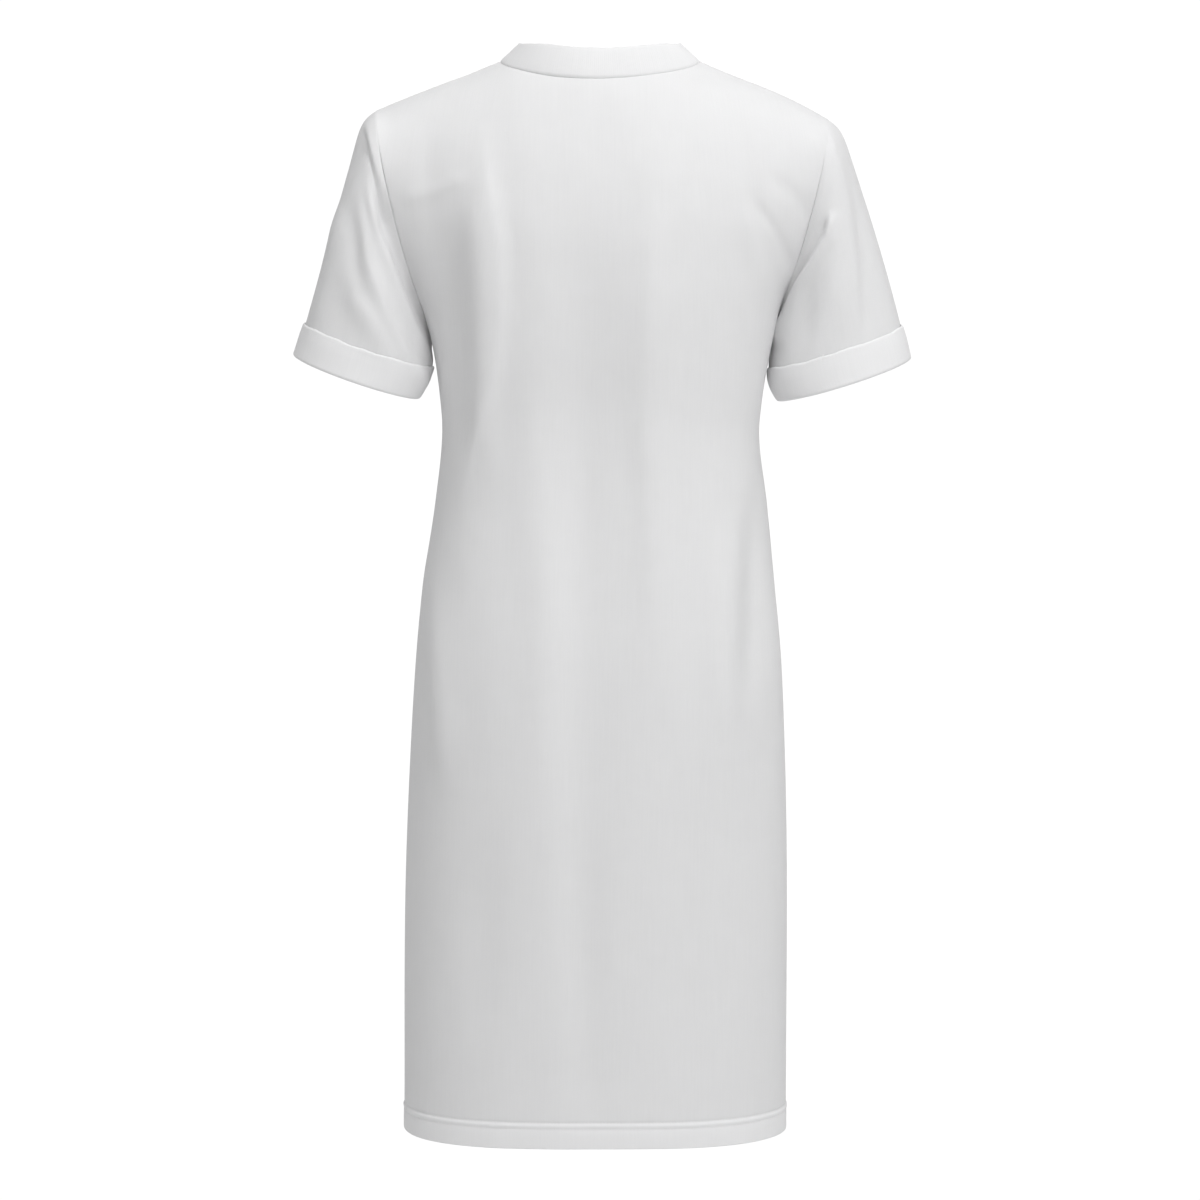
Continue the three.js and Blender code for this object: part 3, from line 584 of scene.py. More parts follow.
def hem_relief(z, around, sizes, seed):
    """How far the doubled hem, its stitches and the puckers beside them move the cloth out."""
    upper, lower = stitch_heights(sizes)
    doubled = HEM["layer"] * smooth_step((upper - z) / HEM["layer_fade"])
    rows = bell((z - upper) / HEM["upper_groove"]) + bell((z - lower) / HEM["lower_groove"])
    tunnel = HEM["tunnel"] * bell((z - (upper + lower) / 2) / HEM["tunnel_wide"])
    long, short = np.sin(around / HEM_LENGTHS["long"] + seed), np.sin(around / HEM_LENGTHS["short"] + 2 * seed)
    uneven = 0.5 + 0.5 * long * short
    drift = PUCKER_DRIFT * np.sin(around / HEM_LENGTHS["drift"] + seed)
    wave = np.sin(around / HEM_LENGTHS["pucker"] + drift)
    near = np.where(z > upper, np.exp(-(z - upper) / HEM["pucker_up"]), np.exp((z - upper) / HEM["pucker_down"]))
    return doubled - HEM["groove"] * rows + tunnel + HEM["pucker"] * wave * uneven * near


def make_panel(name, sizes):
    """The outer face of a panel: rows from the hem up, columns from the wearer's right to the left."""
    panel = PANELS[name]
    seed, turned = panel["seed"], -panel["side"]
    even, rounded = panel_columns()
    heights = body_heights(sizes)[:, None]
    up = np.linspace(0, 1, YOKE_ROWS + 1)[:, None]
    across_yoke = mix(even, rounded, smooth_step(up) * up)
    points = np.concatenate([body_point(panel, even, heights), yoke_point(panel, across_yoke, up)])
    share = np.abs(np.concatenate([np.repeat(even, len(heights), axis=0), across_yoke]))
    for ease in EASINGS:
        points = ease_grid(points, ease)
    x, z = points[..., 0], points[..., 2]
    fold_share = smooth_step((1 - share) / FOLD_FREE_EDGE)
    height = main_fold_height(MAIN_FOLDS[name], x, z) * fold_share
    height += crease_height(CREASES[name], x, z) * smooth_step((1 - share) / CREASE_FREE_EDGE)
    height += slow_unevenness(points, PANEL_UNEVEN, seed) * fold_share
    around = travelled(points[0])
    around = (around - around[len(around) // 2])[None, :]
    height += hem_relief(z, around, sizes, seed)
    points = points + surface_normals(points, False, turned) * height[..., None]
    sway = smooth_step((HEM_Z + HEM["sway_reach"] - points[..., 2]) / HEM["sway_reach"])
    wave = HEM["wave"] * np.sin(around / HEM_LENGTHS["wave"] + seed)
    points[..., 2] += sway * (HEM["side_lift"] * share ** 3 + wave)
    return {"points": points, "underarm": len(heights), "turned": turned,
            "normals": surface_normals(points, False, turned)}


# ---- Sleeves ----

def armhole_ring(panels, column):
    """The armhole's members in order: from the underarm up behind, over the shoulder, down in front."""
    start = panels["back"]["underarm"]
    behind = [("back", start + row, column) for row in range(YOKE_ROWS + 1)]
    return behind + [("front", start + row, column) for row in range(YOKE_ROWS - 1, 0, -1)]


def member_values(panels, ring, key):
    return np.array([panels[name][key][row, column] for name, row, column in ring])


def sleeve_lines(sleeve, start, turn, along):
    """Points of the sleeve's plain form; turn is 0 under the arm and half a turn on top of it."""
    over, behind, side = (1 - np.cos(turn)) / 2, np.sin(turn), sleeve["side"]
    outer, inner = np.array(sleeve["outer"]), np.array(sleeve["inner"])
    middle, reach = (outer + inner) / 2, (outer - inner) / 2
    shrink = 1 - CUFF_COVER / np.linalg.norm(reach)
    end = np.stack([
        middle[0] - reach[0] * np.cos(turn) * shrink,
        (sleeve["deep"] - CUFF_COVER) * behind,
        middle[1] - reach[1] * np.cos(turn) * shrink - CUFF_BEHIND_LOWER * behind], axis=-1)
    (out_under, down_under), (out_over, down_over) = SLEEVE_START["under"], SLEEVE_START["over"]
    leave = np.stack([side * mix(out_under, out_over, over), SLEEVE_SPREAD * behind,
                      -mix(down_under, down_over, over)], axis=-1)
    out_under, down_under = SLEEVE_END["under"]
    arrive = np.stack([side * mix(out_under, sleeve["flare"], over), np.zeros_like(over),
                       -mix(down_under, SLEEVE_END["over"], over)], axis=-1)
    lines = hermite(start[None], end[None], leave[None], arrive[None], along[:, None, None])
    head = (along / SLEEVE_HEAD_AT) * np.exp(1 - along / SLEEVE_HEAD_AT)
    lines[..., 0] += side * sleeve["head"] * (over[None, :] * head[:, None]) ** 2
    return lines


def window(value, part):
    """1 between two values of a part's table and 0 outside its ends, with soft shoulders."""
    rise = smooth_step((value - part["from"]) / (part["full"] - part["from"]))
    return rise * smooth_step((part["to"] - value) / (part["to"] - part["fades"]))


def armhole_relief(name, degrees, run):
    """How the sleeve drops from its head's edge and dives in beside the seam, behind and before."""
    height = np.zeros_like(run)
    edge, dip = HEAD_EDGE[name], SEAM_DIP[name]
    for turn in (degrees, 360 - degrees):
        beyond = run - np.maximum(turn - edge["from"], 0) * edge["per_turn"]
        fall = smooth_step(beyond / edge["wide"]) * np.exp(-np.maximum(beyond - edge["wide"], 0) / HEAD_RECOVERY)
        height -= edge["drop"] * fall * window(turn, edge)
        height -= dip["deep"] * (run / dip["at"]) * np.exp(1 - run / dip["at"]) * window(turn, dip)
    return height


def resample(lines, distances):
    """Points down each column of lines at the given distances, which have a row for each new row."""
    places = travelled(lines)
    result = np.empty((len(distances), lines.shape[1], 3))
    for column in range(lines.shape[1]):
        for axis in range(3):
            result[:, column, axis] = np.interp(distances[:, column], places[:, column], lines[:, column, axis])
    return result


def make_sleeve(name, panels, sizes):
    """The sleeve's outer face from the armhole to the cuff's fold, and its rows under the cuff."""
    sleeve = SLEEVES[name]
    side, column = sleeve["side"], -1 if name == "left" else 0
    ring = armhole_ring(panels, column)
    turn = np.arange(len(ring)) / len(ring) * 2 * math.pi
    along = np.linspace(0, 1, SLEEVE_LINE_STEPS + 1)
    lines = sleeve_lines(sleeve, member_values(panels, ring, "points"), turn, along)
    shown = (travelled(lines)[-1] - sizes.cuff_depth)[None]
    open_share = np.linspace(0, 1, SLEEVE_OPEN_ROWS + 1)[:, None]
    covered = np.linspace(0, 1, CUFF_ROWS + 1)[1:, None]
    points = resample(lines, np.concatenate([shown * open_share, shown + sizes.cuff_depth * covered]))
    place = np.concatenate([SLEEVE_OPEN_SHARE * open_share, mix(SLEEVE_OPEN_SHARE, 1, covered)])
    degrees = (turn * 180 / math.pi)[None, :]
    height = np.zeros(points.shape[:2])
    for fold in SLEEVE_FOLDS[name]:
        centre, half = (fold["from"] + fold["to"]) / 2, (fold["to"] - fold["from"]) / 2
        across = bell((degrees - fold["turn"]) / fold["wide"])
        height += fold["out"] * across * smooth_step(1 - np.abs(place - centre) / half)
    plain, run = surface_normals(points, True, side), travelled(points)
    for crease in SLEEVE_CREASES[name]:
        facing = smooth_step(plain[..., 1] * crease["face"] / SLEEVE_CREASE_START["facing"])
        facing = facing * smooth_step(run / SLEEVE_CREASE_START["run"])
        height += crease_height([crease], points[..., 0], points[..., 2]) * facing
    height += armhole_relief(name, degrees, run)
    height += slow_unevenness(points, SLEEVE_UNEVEN, sleeve["seed"]) * smooth_step(place / SLEEVE_CALM)
    points = points + plain * height[..., None]
    return {"points": points, "ring": ring, "column": column, "turned": side,
            "normals": surface_normals(points, True, side)}


# ---- Seams ----

def shared_normals(normals, inward, seam):
    """One normal for pieces that meet at a seam, square to it and halfway between them."""
    total = sum(normals)
    towards = sum(unit(way - seam * dot(way, seam)) for way in inward)
    valley = np.sign(dot(total, towards))
    total = total + towards * np.where(valley == 0, 1, valley)
    return unit(total - seam * dot(total, seam))


def seam_run(points, closed=False):
    """The direction along a line or ring of points."""
    return unit(across_neighbours(points, 0, closed))


def side_seam_normals(panels, column):
    """Normals shared by the two panels down one side seam."""
    end = panels["back"]["underarm"]
    both = list(panels.values())
    edges = [panel["points"][:end, column] for panel in both]
    return shared_normals(
        [panel["normals"][:end, column] for panel in both],
        [panel["points"][:end, BESIDE[column]] - edge for panel, edge in zip(both, edges)],
        seam_run(edges[0]))


def top_seam_normals(panels, name):
    """Normals shared along a panel's upper edge: with the other panel over the shoulders, and with
    the neckband round the neck."""
    normals, other = panels[name]["normals"][-1], panels["front" if name == "back" else "back"]
    edge, other_edge = panels[name]["points"][-1], other["points"][-1]
    inward, run = panels[name]["points"][-2] - edge, seam_run(edge)
    over = shared_normals([normals, other["normals"][-1]], [inward, other["points"][-2] - other_edge], run)
    band = band_direction(edge, run)
    band_normal = unit(np.cross(run, band))
    band_normal *= np.sign(dot(band_normal, normals))
    round_neck = shared_normals([normals, band_normal], [inward, band], run)
    neck = np.zeros((len(run), 1), bool)
    neck[SHOULDER_COLUMNS:SHOULDER_COLUMNS + NECK_COLUMNS + 1] = True
    return np.where(neck, round_neck, over)


def armhole_normals(panels, sleeve):
    """Normals shared by the panels and a sleeve round its armhole, by member of the ring."""
    ring = sleeve["ring"]
    edge = member_values(panels, ring, "points")
    beside = [(name, row, BESIDE[column]) for name, row, column in ring]
    inward = member_values(panels, beside, "points") - edge
    normals = [member_values(panels, ring, "normals"), sleeve["normals"][0]]
    return shared_normals(normals, [inward, sleeve["points"][1] - sleeve["points"][0]], seam_run(edge, True))


def from_edge(grid, axis, at_end):
    """A grid's lines in order from one of its edges."""
    lines = np.moveaxis(grid, axis, 0)
    return lines[::-1] if at_end else lines


def to_grid(lines, axis, at_end):
    """The grid of lines that are in order from one of its edges."""
    return np.moveaxis(lines[::-1] if at_end else lines, 0, axis)


def edge_sink(points, radius, axis, at_end):
    """How far cloth sinks near one edge of its grid, as it rolls over into the seam."""
    left = np.clip(1 - travelled(from_edge(points, axis, at_end)) / radius, 0, 1)
    return to_grid(radius * (1 - np.sqrt(1 - left * left)), axis, at_end)


def with_edge_lines(grid, axis, at_end):
    """The grid with more lines put in close to one of its edges."""
    lines = from_edge(grid, axis, at_end)
    extra = np.stack([mix(lines[0], lines[1], share) for share in EDGE_SHARES])
    return to_grid(np.concatenate([lines[:1], extra, lines[1:]]), axis, at_end)


def roll_in(points, down, axis, at_end):
    """The grid with one more line past an edge, which goes down into the seam."""
    lines = from_edge(points, axis, at_end)
    return to_grid(np.concatenate([(lines[0] - down * ROLL_DEPTH)[None], lines]), axis, at_end)


def sewn_panel(name, panels, sleeves, sizes):
    """A panel's outer face with its edges rolled into the seams."""
    points, normals = panels[name]["points"], panels[name]["normals"]
    edges = ((1, False), (1, True), (0, True))
    for edge in edges:
        points, normals = with_edge_lines(points, *edge), with_edge_lines(normals, *edge)
    rolls = [sizes.armhole_roll * SLEEVES[side]["seam_roll"] for side in ("right", "left")]
    sinks = [edge_sink(points, roll, *edge) for roll, edge in zip((*rolls, sizes.seam_roll), edges)]
    points = points - unit(normals) * np.maximum.reduce(sinks)[..., None]
    for side, edge in zip(("right", "left"), edges):
        sleeve = sleeves[side]
        rows = [k for k, member in enumerate(sleeve["ring"]) if member[0] == name]
        if name == "front":
            rows = [0, *reversed(rows), YOKE_ROWS]
        down = np.concatenate([side_seam_normals(panels, sleeve["column"]), armhole_normals(panels, sleeve)[rows]])
        points = roll_in(points, with_edge_lines(down, 0, True), *edge)
    top = top_seam_normals(panels, name)
    top = with_edge_lines(with_edge_lines(top, 0, False), 0, True)
    return roll_in(points, np.concatenate([top[:1], top, top[-1:]]), 0, True)


# ---- Meshes ----

def rim_between(outer, inner, outward):
    """Lines that round off a free edge of the cloth from its outer to its inner face."""
    middle, half = (outer + inner) / 2, (outer - inner) / 2
    radius = np.linalg.norm(half, axis=-1, keepdims=True)
    angles = np.linspace(0, math.pi, RIM_STEPS + 2)[1:-1]
    return np.stack([middle + half * math.cos(a) + outward * radius * math.sin(a) for a in angles])


def lie_of(points, closed):
    """Where each point lies in the flat cloth: how far across and how far up, in metres."""
    across, up = travelled(points, 1), travelled(points)
    if closed:
        across = np.repeat(across[len(points) // 2][None], len(points), axis=0)
    else:
        across = across - across[:, points.shape[1] // 2][:, None]
    return np.stack([across, up, np.zeros_like(up)], axis=-1)


def cloth_wall(name, outer, thickness, turned, closed, material, doubled=0.0):
    """A closed wall of cloth under a grid of outer points, with rounded rims along its rows' ends;
    doubled says where the cloth is in two layers, from 0 to 1."""
    inner = outer - surface_normals(outer, closed, turned) * thickness
    lie = lie_of(outer, closed)
    lie[..., 2] = doubled
    section = np.concatenate([
        outer, rim_between(outer[-1], inner[-1], unit(outer[-1] - outer[-2])),
        inner[::-1], rim_between(inner[0], outer[0], unit(outer[0] - outer[1]))])
    lies = np.concatenate([
        lie, np.repeat(lie[-1:], RIM_STEPS, axis=0), lie[::-1], np.repeat(lie[:1], RIM_STEPS, axis=0)])
    rows, count = section.shape[:2]
    index = np.arange(rows * count).reshape(rows, count)
    corners = [index, np.roll(index, -1, 1), np.roll(index, (-1, -1), (0, 1)), np.roll(index, -1, 0)]
    if not closed:
        corners = [corner[:, :-1] for corner in corners]
    faces = np.stack(corners, axis=-1).reshape(-1, 4).tolist()
    if not closed:
        faces += side_caps(rows, count, len(outer))
    points = section.reshape(-1, 3)
    if encloses_less_than_nothing(points, faces):
        faces = [face[::-1] for face in faces]
    mesh = bpy.data.meshes.new(name)
    mesh.from_pydata(points.tolist(), [], faces)
    mesh.polygons.foreach_set("use_smooth", np.ones(len(mesh.polygons), bool))
    attribute = mesh.attributes.new(LIE, "FLOAT_VECTOR", "POINT")
    attribute.data.foreach_set("vector", lies.reshape(-1).astype(np.float32))
    mesh.materials.append(material)
    if mesh.validate():
        raise RuntimeError(f"{name}: the mesh had faults")
    return add_piece(name, mesh)


def side_caps(rows, count, outer_rows):
    """Faces that close the two ends of a wall that doesn't run round."""
    caps = []
    last = outer_rows + RIM_STEPS + outer_rows - 1
    strip = [[r, r + 1, last - r - 1, last - r] for r in range(outer_rows - 1)]
    strip.append(list(range(outer_rows - 1, outer_rows + RIM_STEPS + 1)))
    strip.append(list(range(last, rows + 1)))
    for column, step in ((0, 1), (count - 1, -1)):
        caps += [[(row % rows) * count + column for row in face][::step] for face in strip]
    return caps


def encloses_less_than_nothing(points, faces):
    """Whether the faces of a closed mesh look inwards."""
    a, b, c, d = (points[[face[k] for face in faces]] for k in range(4))
    return (a * (np.cross(b, c) + np.cross(c, d))).sum() < 0


def add_piece(name, mesh):
    piece = bpy.data.objects.new(name, mesh)
    bpy.context.scene.collection.objects.link(piece)
    return piece


def finish_piece(piece, slot, *nodes):
    """Says what a piece moves with and which solids it stands for; its finish, slot, is not used."""
    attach(piece, "root")
    if nodes:
        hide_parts(*nodes)


# ---- Materials ----

def add_node(tree, kind, inputs=(), **settings):
    """A node with its settings, and with its inputs set to values or wired to sockets."""
    node = tree.nodes.new(kind)
    for key, value in settings.items():
        setattr(node, key, value)
    set_inputs(tree, node, dict(inputs))
    return node


def set_inputs(tree, node, inputs):
    for label, value in inputs.items():
        if isinstance(value, bpy.types.NodeSocket):
            tree.links.new(value, node.inputs[label])
        else:
            node.inputs[label].default_value = value


def math_node(tree, operation, *values):
    return add_node(tree, "ShaderNodeMath", enumerate(values), operation=operation).outputs[0]


def two_tone(tree, share, dark, light):
    """A colour between a dark and a light one."""
    inputs = {"A": (*dark, 1), "B": (*light, 1), "Factor": share}
    return add_node(tree, "ShaderNodeMix", inputs, data_type="RGBA").outputs["Result"]


def new_group(name, numbers, outputs):
    """A shader group that reads where the cloth lies, with its inputs and its output node."""
    group = bpy.data.node_groups.new(name, "ShaderNodeTree")
    group.interface.new_socket("Lie", in_out="INPUT", socket_type="NodeSocketVector")
    for label, value in numbers.items():
        group.interface.new_socket(label, in_out="INPUT", socket_type="NodeSocketFloat").default_value = value
    for label in outputs:
        group.interface.new_socket(label, in_out="OUTPUT", socket_type="NodeSocketFloat")
    given, result = group.nodes.new("NodeGroupInput"), group.nodes.new("NodeGroupOutput")
    lie = add_node(group, "ShaderNodeSeparateXYZ", {0: given.outputs["Lie"]})
    return group, given.outputs, result, lie.outputs


def knit_group(name):
    """Columns of V-shaped loops, as on the right side of plain knit."""
    group, given, result, lie = new_group(
        name, {"Loop Width": 0.0007, "Loop Height": 0.0006, "Slant": 1.1}, ("Height",))
    column = math_node(group, "DIVIDE", lie["X"], given["Loop Width"])
    place = math_node(group, "SUBTRACT", math_node(group, "FRACT", column), 0.5)
    aside = math_node(group, "ABSOLUTE", place)
    legs = math_node(group, "SINE", math_node(group, "MULTIPLY", aside, 2 * math.pi))
    course = math_node(group, "DIVIDE", lie["Y"], given["Loop Height"])
    slanted = math_node(group, "MULTIPLY_ADD", aside, given["Slant"], course)
    loops = math_node(group, "COSINE", math_node(group, "MULTIPLY", slanted, 2 * math.pi))
    loops = math_node(group, "MULTIPLY_ADD", loops, LOOP["swing"], LOOP["middle"])
    set_inputs(group, result, {"Height": math_node(group, "MULTIPLY", legs, loops)})
    return group


def cloth_tone_group(name):
    """Slight unevenness of a washed white cloth: fine streaks along the knit, mottling and fuzz."""
    group, given, result, lie = new_group(
        name, {"Streak Width": 0.0016, "Streak Length": 0.05, "Mottle Size": 0.02}, ("Tone", "Fuzz"))
    stretched = add_node(group, "ShaderNodeCombineXYZ", {
        "X": math_node(group, "DIVIDE", lie["X"], given["Streak Width"]),
        "Y": math_node(group, "DIVIDE", lie["Y"], given["Streak Length"])})
    streak = add_node(group, "ShaderNodeTexNoise", {
        "Vector": stretched.outputs[0], "Scale": 1.0, "Detail": 3.0})
    mottle = add_node(group, "ShaderNodeTexNoise", {
        "Vector": given["Lie"], "Scale": math_node(group, "DIVIDE", 1.0, given["Mottle Size"]), "Detail": 4.0})
    fuzz = add_node(group, "ShaderNodeTexNoise", {"Vector": given["Lie"], "Scale": TONE["fuzz_scale"], "Detail": 2.0})
    half = math_node(group, "MULTIPLY", streak.outputs["Fac"], TONE["streak"])
    tone = math_node(group, "MULTIPLY_ADD", mottle.outputs["Fac"], TONE["mottle"], half)
    set_inputs(group, result, {"Tone": tone, "Fuzz": fuzz.outputs["Fac"]})
    return group


def place_group(tree, name, make, inputs):
    group = bpy.data.node_groups.get(name) or make(name)
    node = add_node(tree, "ShaderNodeGroup", node_tree=group)
    set_inputs(tree, node, inputs)
    return node.outputs


def new_material(name):
    """A material with its tree and shader."""
    material = bpy.data.materials.new(name)
    material.use_nodes = True
    return material, material.node_tree, material.node_tree.nodes["Principled BSDF"]


def cloth_material(name, colour, kind):
    """A white knit: tone streaks in its colour, painted shade in the valleys between its loops, loops and fuzz in its
    relief.
    """
    material, tree, shader = new_material(name)
    lie = add_node(tree, "ShaderNodeAttribute", attribute_name=LIE).outputs["Vector"]
    knit = place_group(tree, "Knit Loops", knit_group, {"Lie": lie, **kind["loops"]})
    tone = place_group(tree, "Cloth Tone", cloth_tone_group, {"Lie": lie})
    colours = two_tone(
        tree, tone["Tone"], [c * CLOTH["dark"] for c in colour], [min(c * CLOTH["light"], 1) for c in colour])
    layers = add_node(tree, "ShaderNodeSeparateXYZ", {0: lie}).outputs["Z"]
    layer_and_loop_shade = math_node(tree, "MULTIPLY_ADD", layers, 1 - SINGLE_LAYER, SINGLE_LAYER)
    # Painted shade: the colour is darker in the valleys between the knit's loops and lighter on their tops
    lit = math_node(tree, "MULTIPLY_ADD", knit["Height"], CLOTH["loop_painted_shade"], CLOTH["valley"])
    layer_and_loop_shade = math_node(tree, "MULTIPLY", layer_and_loop_shade, lit)
    shade = add_node(tree, "ShaderNodeVectorMath", operation="SCALE")
    set_inputs(tree, shade, {0: colours, "Scale": layer_and_loop_shade})
    relief = math_node(tree, "MULTIPLY_ADD", tone["Fuzz"], CLOTH["fuzz_relief"], knit["Height"])
    bumps = add_node(tree, "ShaderNodeBump", {
        "Strength": CLOTH["bump"], "Distance": CLOTH["bump_height"], "Height": relief})
    fuzz_rough = CLOTH["fuzz_rough"]
    rough = math_node(tree, "MULTIPLY_ADD", tone["Fuzz"], fuzz_rough, kind["roughness"] - fuzz_rough / 2)
    set_inputs(tree, shader, {
        "Base Color": shade.outputs[0], "Normal": bumps.outputs["Normal"], "Roughness": rough})
    shader.inputs["Sheen Weight"].default_value = CLOTH["sheen"]
    shader.inputs["Sheen Roughness"].default_value = CLOTH["sheen_roughness"]
    shader.inputs["Specular IOR Level"].default_value = CLOTH["specular"]
    return material


def jersey_material():
    name, colour = "white_jersey", bpy.context.scene.dress_colours.jersey
    return bpy.data.materials.get(name) or cloth_material(name, colour, JERSEY)


def rib_material():
    name, colour = "white_rib_knit", bpy.context.scene.dress_colours.rib_knit
    return bpy.data.materials.get(name) or cloth_material(name, colour, RIB)


def thread_material(name="white_thread"):
    """White sewing thread with the fine twist of its plies in its relief, and painted shade in the grooves between
    them.
    """
    if name in bpy.data.materials:
        return bpy.data.materials[name]
    material, tree, shader = new_material(name)
    place = add_node(tree, "ShaderNodeTexCoord").outputs["Object"]
    plies = add_node(tree, "ShaderNodeTexWave", {
        "Vector": place, "Scale": THREAD["twist"], "Distortion": THREAD["wander"]},
        bands_direction="DIAGONAL").outputs["Fac"]
    colour = bpy.context.scene.dress_colours.thread
    bumps = add_node(tree, "ShaderNodeBump", {
        "Strength": THREAD["bump"], "Distance": THREAD["bump_height"], "Height": plies})
    # Painted shade: the colour darkens in the grooves between the plies
    set_inputs(tree, shader, {
        "Base Color": two_tone(tree, plies, [c * THREAD["dark"] for c in colour], colour),
        "Normal": bumps.outputs["Normal"], "Roughness": THREAD["roughness"]})
    shader.inputs["Sheen Weight"].default_value = THREAD["sheen"]
    return material


def brighter_for_camera(tree, lit, seen, output):
    """The camera sees one thing, and every other ray another."""
    rays = add_node(tree, "ShaderNodeLightPath").outputs["Is Camera Ray"]
    either = add_node(tree, "ShaderNodeMixShader", {"Fac": rays, 1: lit.outputs[0], 2: seen.outputs[0]})
    set_inputs(tree, tree.nodes[output], {"Surface": either.outputs[0]})


def floor_material():
    """Matt pale floor, which the camera sees as bright as a studio's lit sweep."""
    material, tree, shader = new_material("pale_floor")
    place = add_node(tree, "ShaderNodeTexCoord").outputs["Object"]
    cloudy = add_node(tree, "ShaderNodeTexNoise", {"Vector": place, "Scale": FLOOR["clouds"]}).outputs["Fac"]
    colour = bpy.context.scene.dress_colours.floor
    tint = two_tone(tree, cloudy, [c * FLOOR["dark"] for c in colour], colour)
    set_inputs(tree, shader, {"Base Color": tint, "Roughness": FLOOR["roughness"]})
    shader.inputs["Specular IOR Level"].default_value = FLOOR["specular"]
    bright = add_node(tree, "ShaderNodeEmission", {"Color": tint, "Strength": FLOOR["glow"]})
    brighter_for_camera(tree, shader, bright, "Material Output")
    return material


# ---- Stitches ----

def stitch_tree(name="Row Of Stitches"):
    """Geometry Nodes: rounded stitches laid along a line, facing out of the cloth."""
    if name in bpy.data.node_groups:
        return bpy.data.node_groups[name]
    tree = bpy.data.node_groups.new(name, "GeometryNodeTree")
    face = tree.interface
    face.new_socket("Geometry", in_out="INPUT", socket_type="NodeSocketGeometry")
    for label, default in (("Stitch Length", 0.003), ("Gap Share", 0.18), ("Thread Radius", 0.0002)):
        face.new_socket(label, in_out="INPUT", socket_type="NodeSocketFloat").default_value = default
    face.new_socket("Material", in_out="INPUT", socket_type="NodeSocketMaterial")
    face.new_socket("Geometry", in_out="OUTPUT", socket_type="NodeSocketGeometry")
    given, result = tree.nodes.new("NodeGroupInput").outputs, tree.nodes.new("NodeGroupOutput")
    line = add_node(tree, "GeometryNodeMeshToCurve", {"Mesh": given["Geometry"]})
    spaced = add_node(tree, "GeometryNodeResampleCurve", mode="LENGTH")
    set_inputs(tree, spaced, {"Curve": line.outputs["Curve"], "Length": given["Stitch Length"]})
    ball = add_node(tree, "GeometryNodeMeshUVSphere", {"Segments": 8, "Rings": 5, "Radius": 1.0})
    half = math_node(tree, "MULTIPLY", given["Stitch Length"], 0.5)
    size = add_node(tree, "ShaderNodeCombineXYZ", {
        "X": math_node(tree, "MULTIPLY", half, math_node(tree, "SUBTRACT", 1.0, given["Gap Share"])),
        "Y": given["Thread Radius"], "Z": math_node(tree, "MULTIPLY", given["Thread Radius"], THREAD["flat"])})
    shaped = add_node(tree, "GeometryNodeTransform", {
        "Geometry": ball.outputs["Mesh"], "Scale": size.outputs[0]})
    tangent = add_node(tree, "GeometryNodeInputTangent")
    facing = add_node(tree, "GeometryNodeInputNamedAttribute", {"Name": FACING}, data_type="FLOAT_VECTOR")
    lengthwise = add_node(
        tree, "FunctionNodeAlignRotationToVector", {"Vector": tangent.outputs[0]}, axis="X")
    upright = add_node(tree, "FunctionNodeAlignRotationToVector", {
        "Rotation": lengthwise.outputs[0], "Vector": facing.outputs["Attribute"]}, axis="Z", pivot_axis="X")
    laid = add_node(tree, "GeometryNodeInstanceOnPoints", {
        "Points": spaced.outputs["Curve"], "Instance": shaped.outputs["Geometry"],
        "Rotation": upright.outputs[0]})
    real = add_node(tree, "GeometryNodeRealizeInstances", {"Geometry": laid.outputs["Instances"]})
    smooth = add_node(tree, "GeometryNodeSetShadeSmooth", {"Geometry": real.outputs["Geometry"]})
    finish = add_node(tree, "GeometryNodeSetMaterial", {
        "Geometry": smooth.outputs["Geometry"], "Material": given["Material"]})
    set_inputs(tree, result, {"Geometry": finish.outputs["Geometry"]})
    return tree


def stitch_piece(name, lines, closed, values):
    """Stitches along lines of (points, facings), as one plain mesh."""
    points, facings, edges = [], [], []
    for line, facing in lines:
        start, count = len(points), len(line)
        points += line.tolist()
        facings += facing.tolist()
        edges += [(start + k, start + k + 1) for k in range(count - 1)]
        if closed:
            edges.append((start + count - 1, start))
    guide = bpy.data.meshes.new(name + "_line")
    guide.from_pydata(points, edges, [])
    attribute = guide.attributes.new(FACING, "FLOAT_VECTOR", "POINT")
    attribute.data.foreach_set("vector", np.array(facings, np.float32).ravel())
    holder = add_piece(name + "_line", guide)
    modifier = holder.modifiers.new("stitches", "NODES")
    modifier.node_group = stitch_tree()
    values = dict(values, Material=thread_material())
    for item in modifier.node_group.interface.items_tree:
        if item.in_out == "INPUT" and item.name in values:
            modifier[item.identifier] = values[item.name]
    bpy.context.view_layer.update()
    graph = bpy.context.evaluated_depsgraph_get()
    mesh = bpy.data.meshes.new_from_object(holder.evaluated_get(graph), depsgraph=graph)
    mesh.name = name
    holder.modifiers.remove(modifier)
    bpy.data.objects.remove(holder)
    bpy.data.meshes.remove(guide)
    if not mesh.polygons:
        raise RuntimeError(f"{name}: no stitches were made")
    return add_piece(name, mesh)


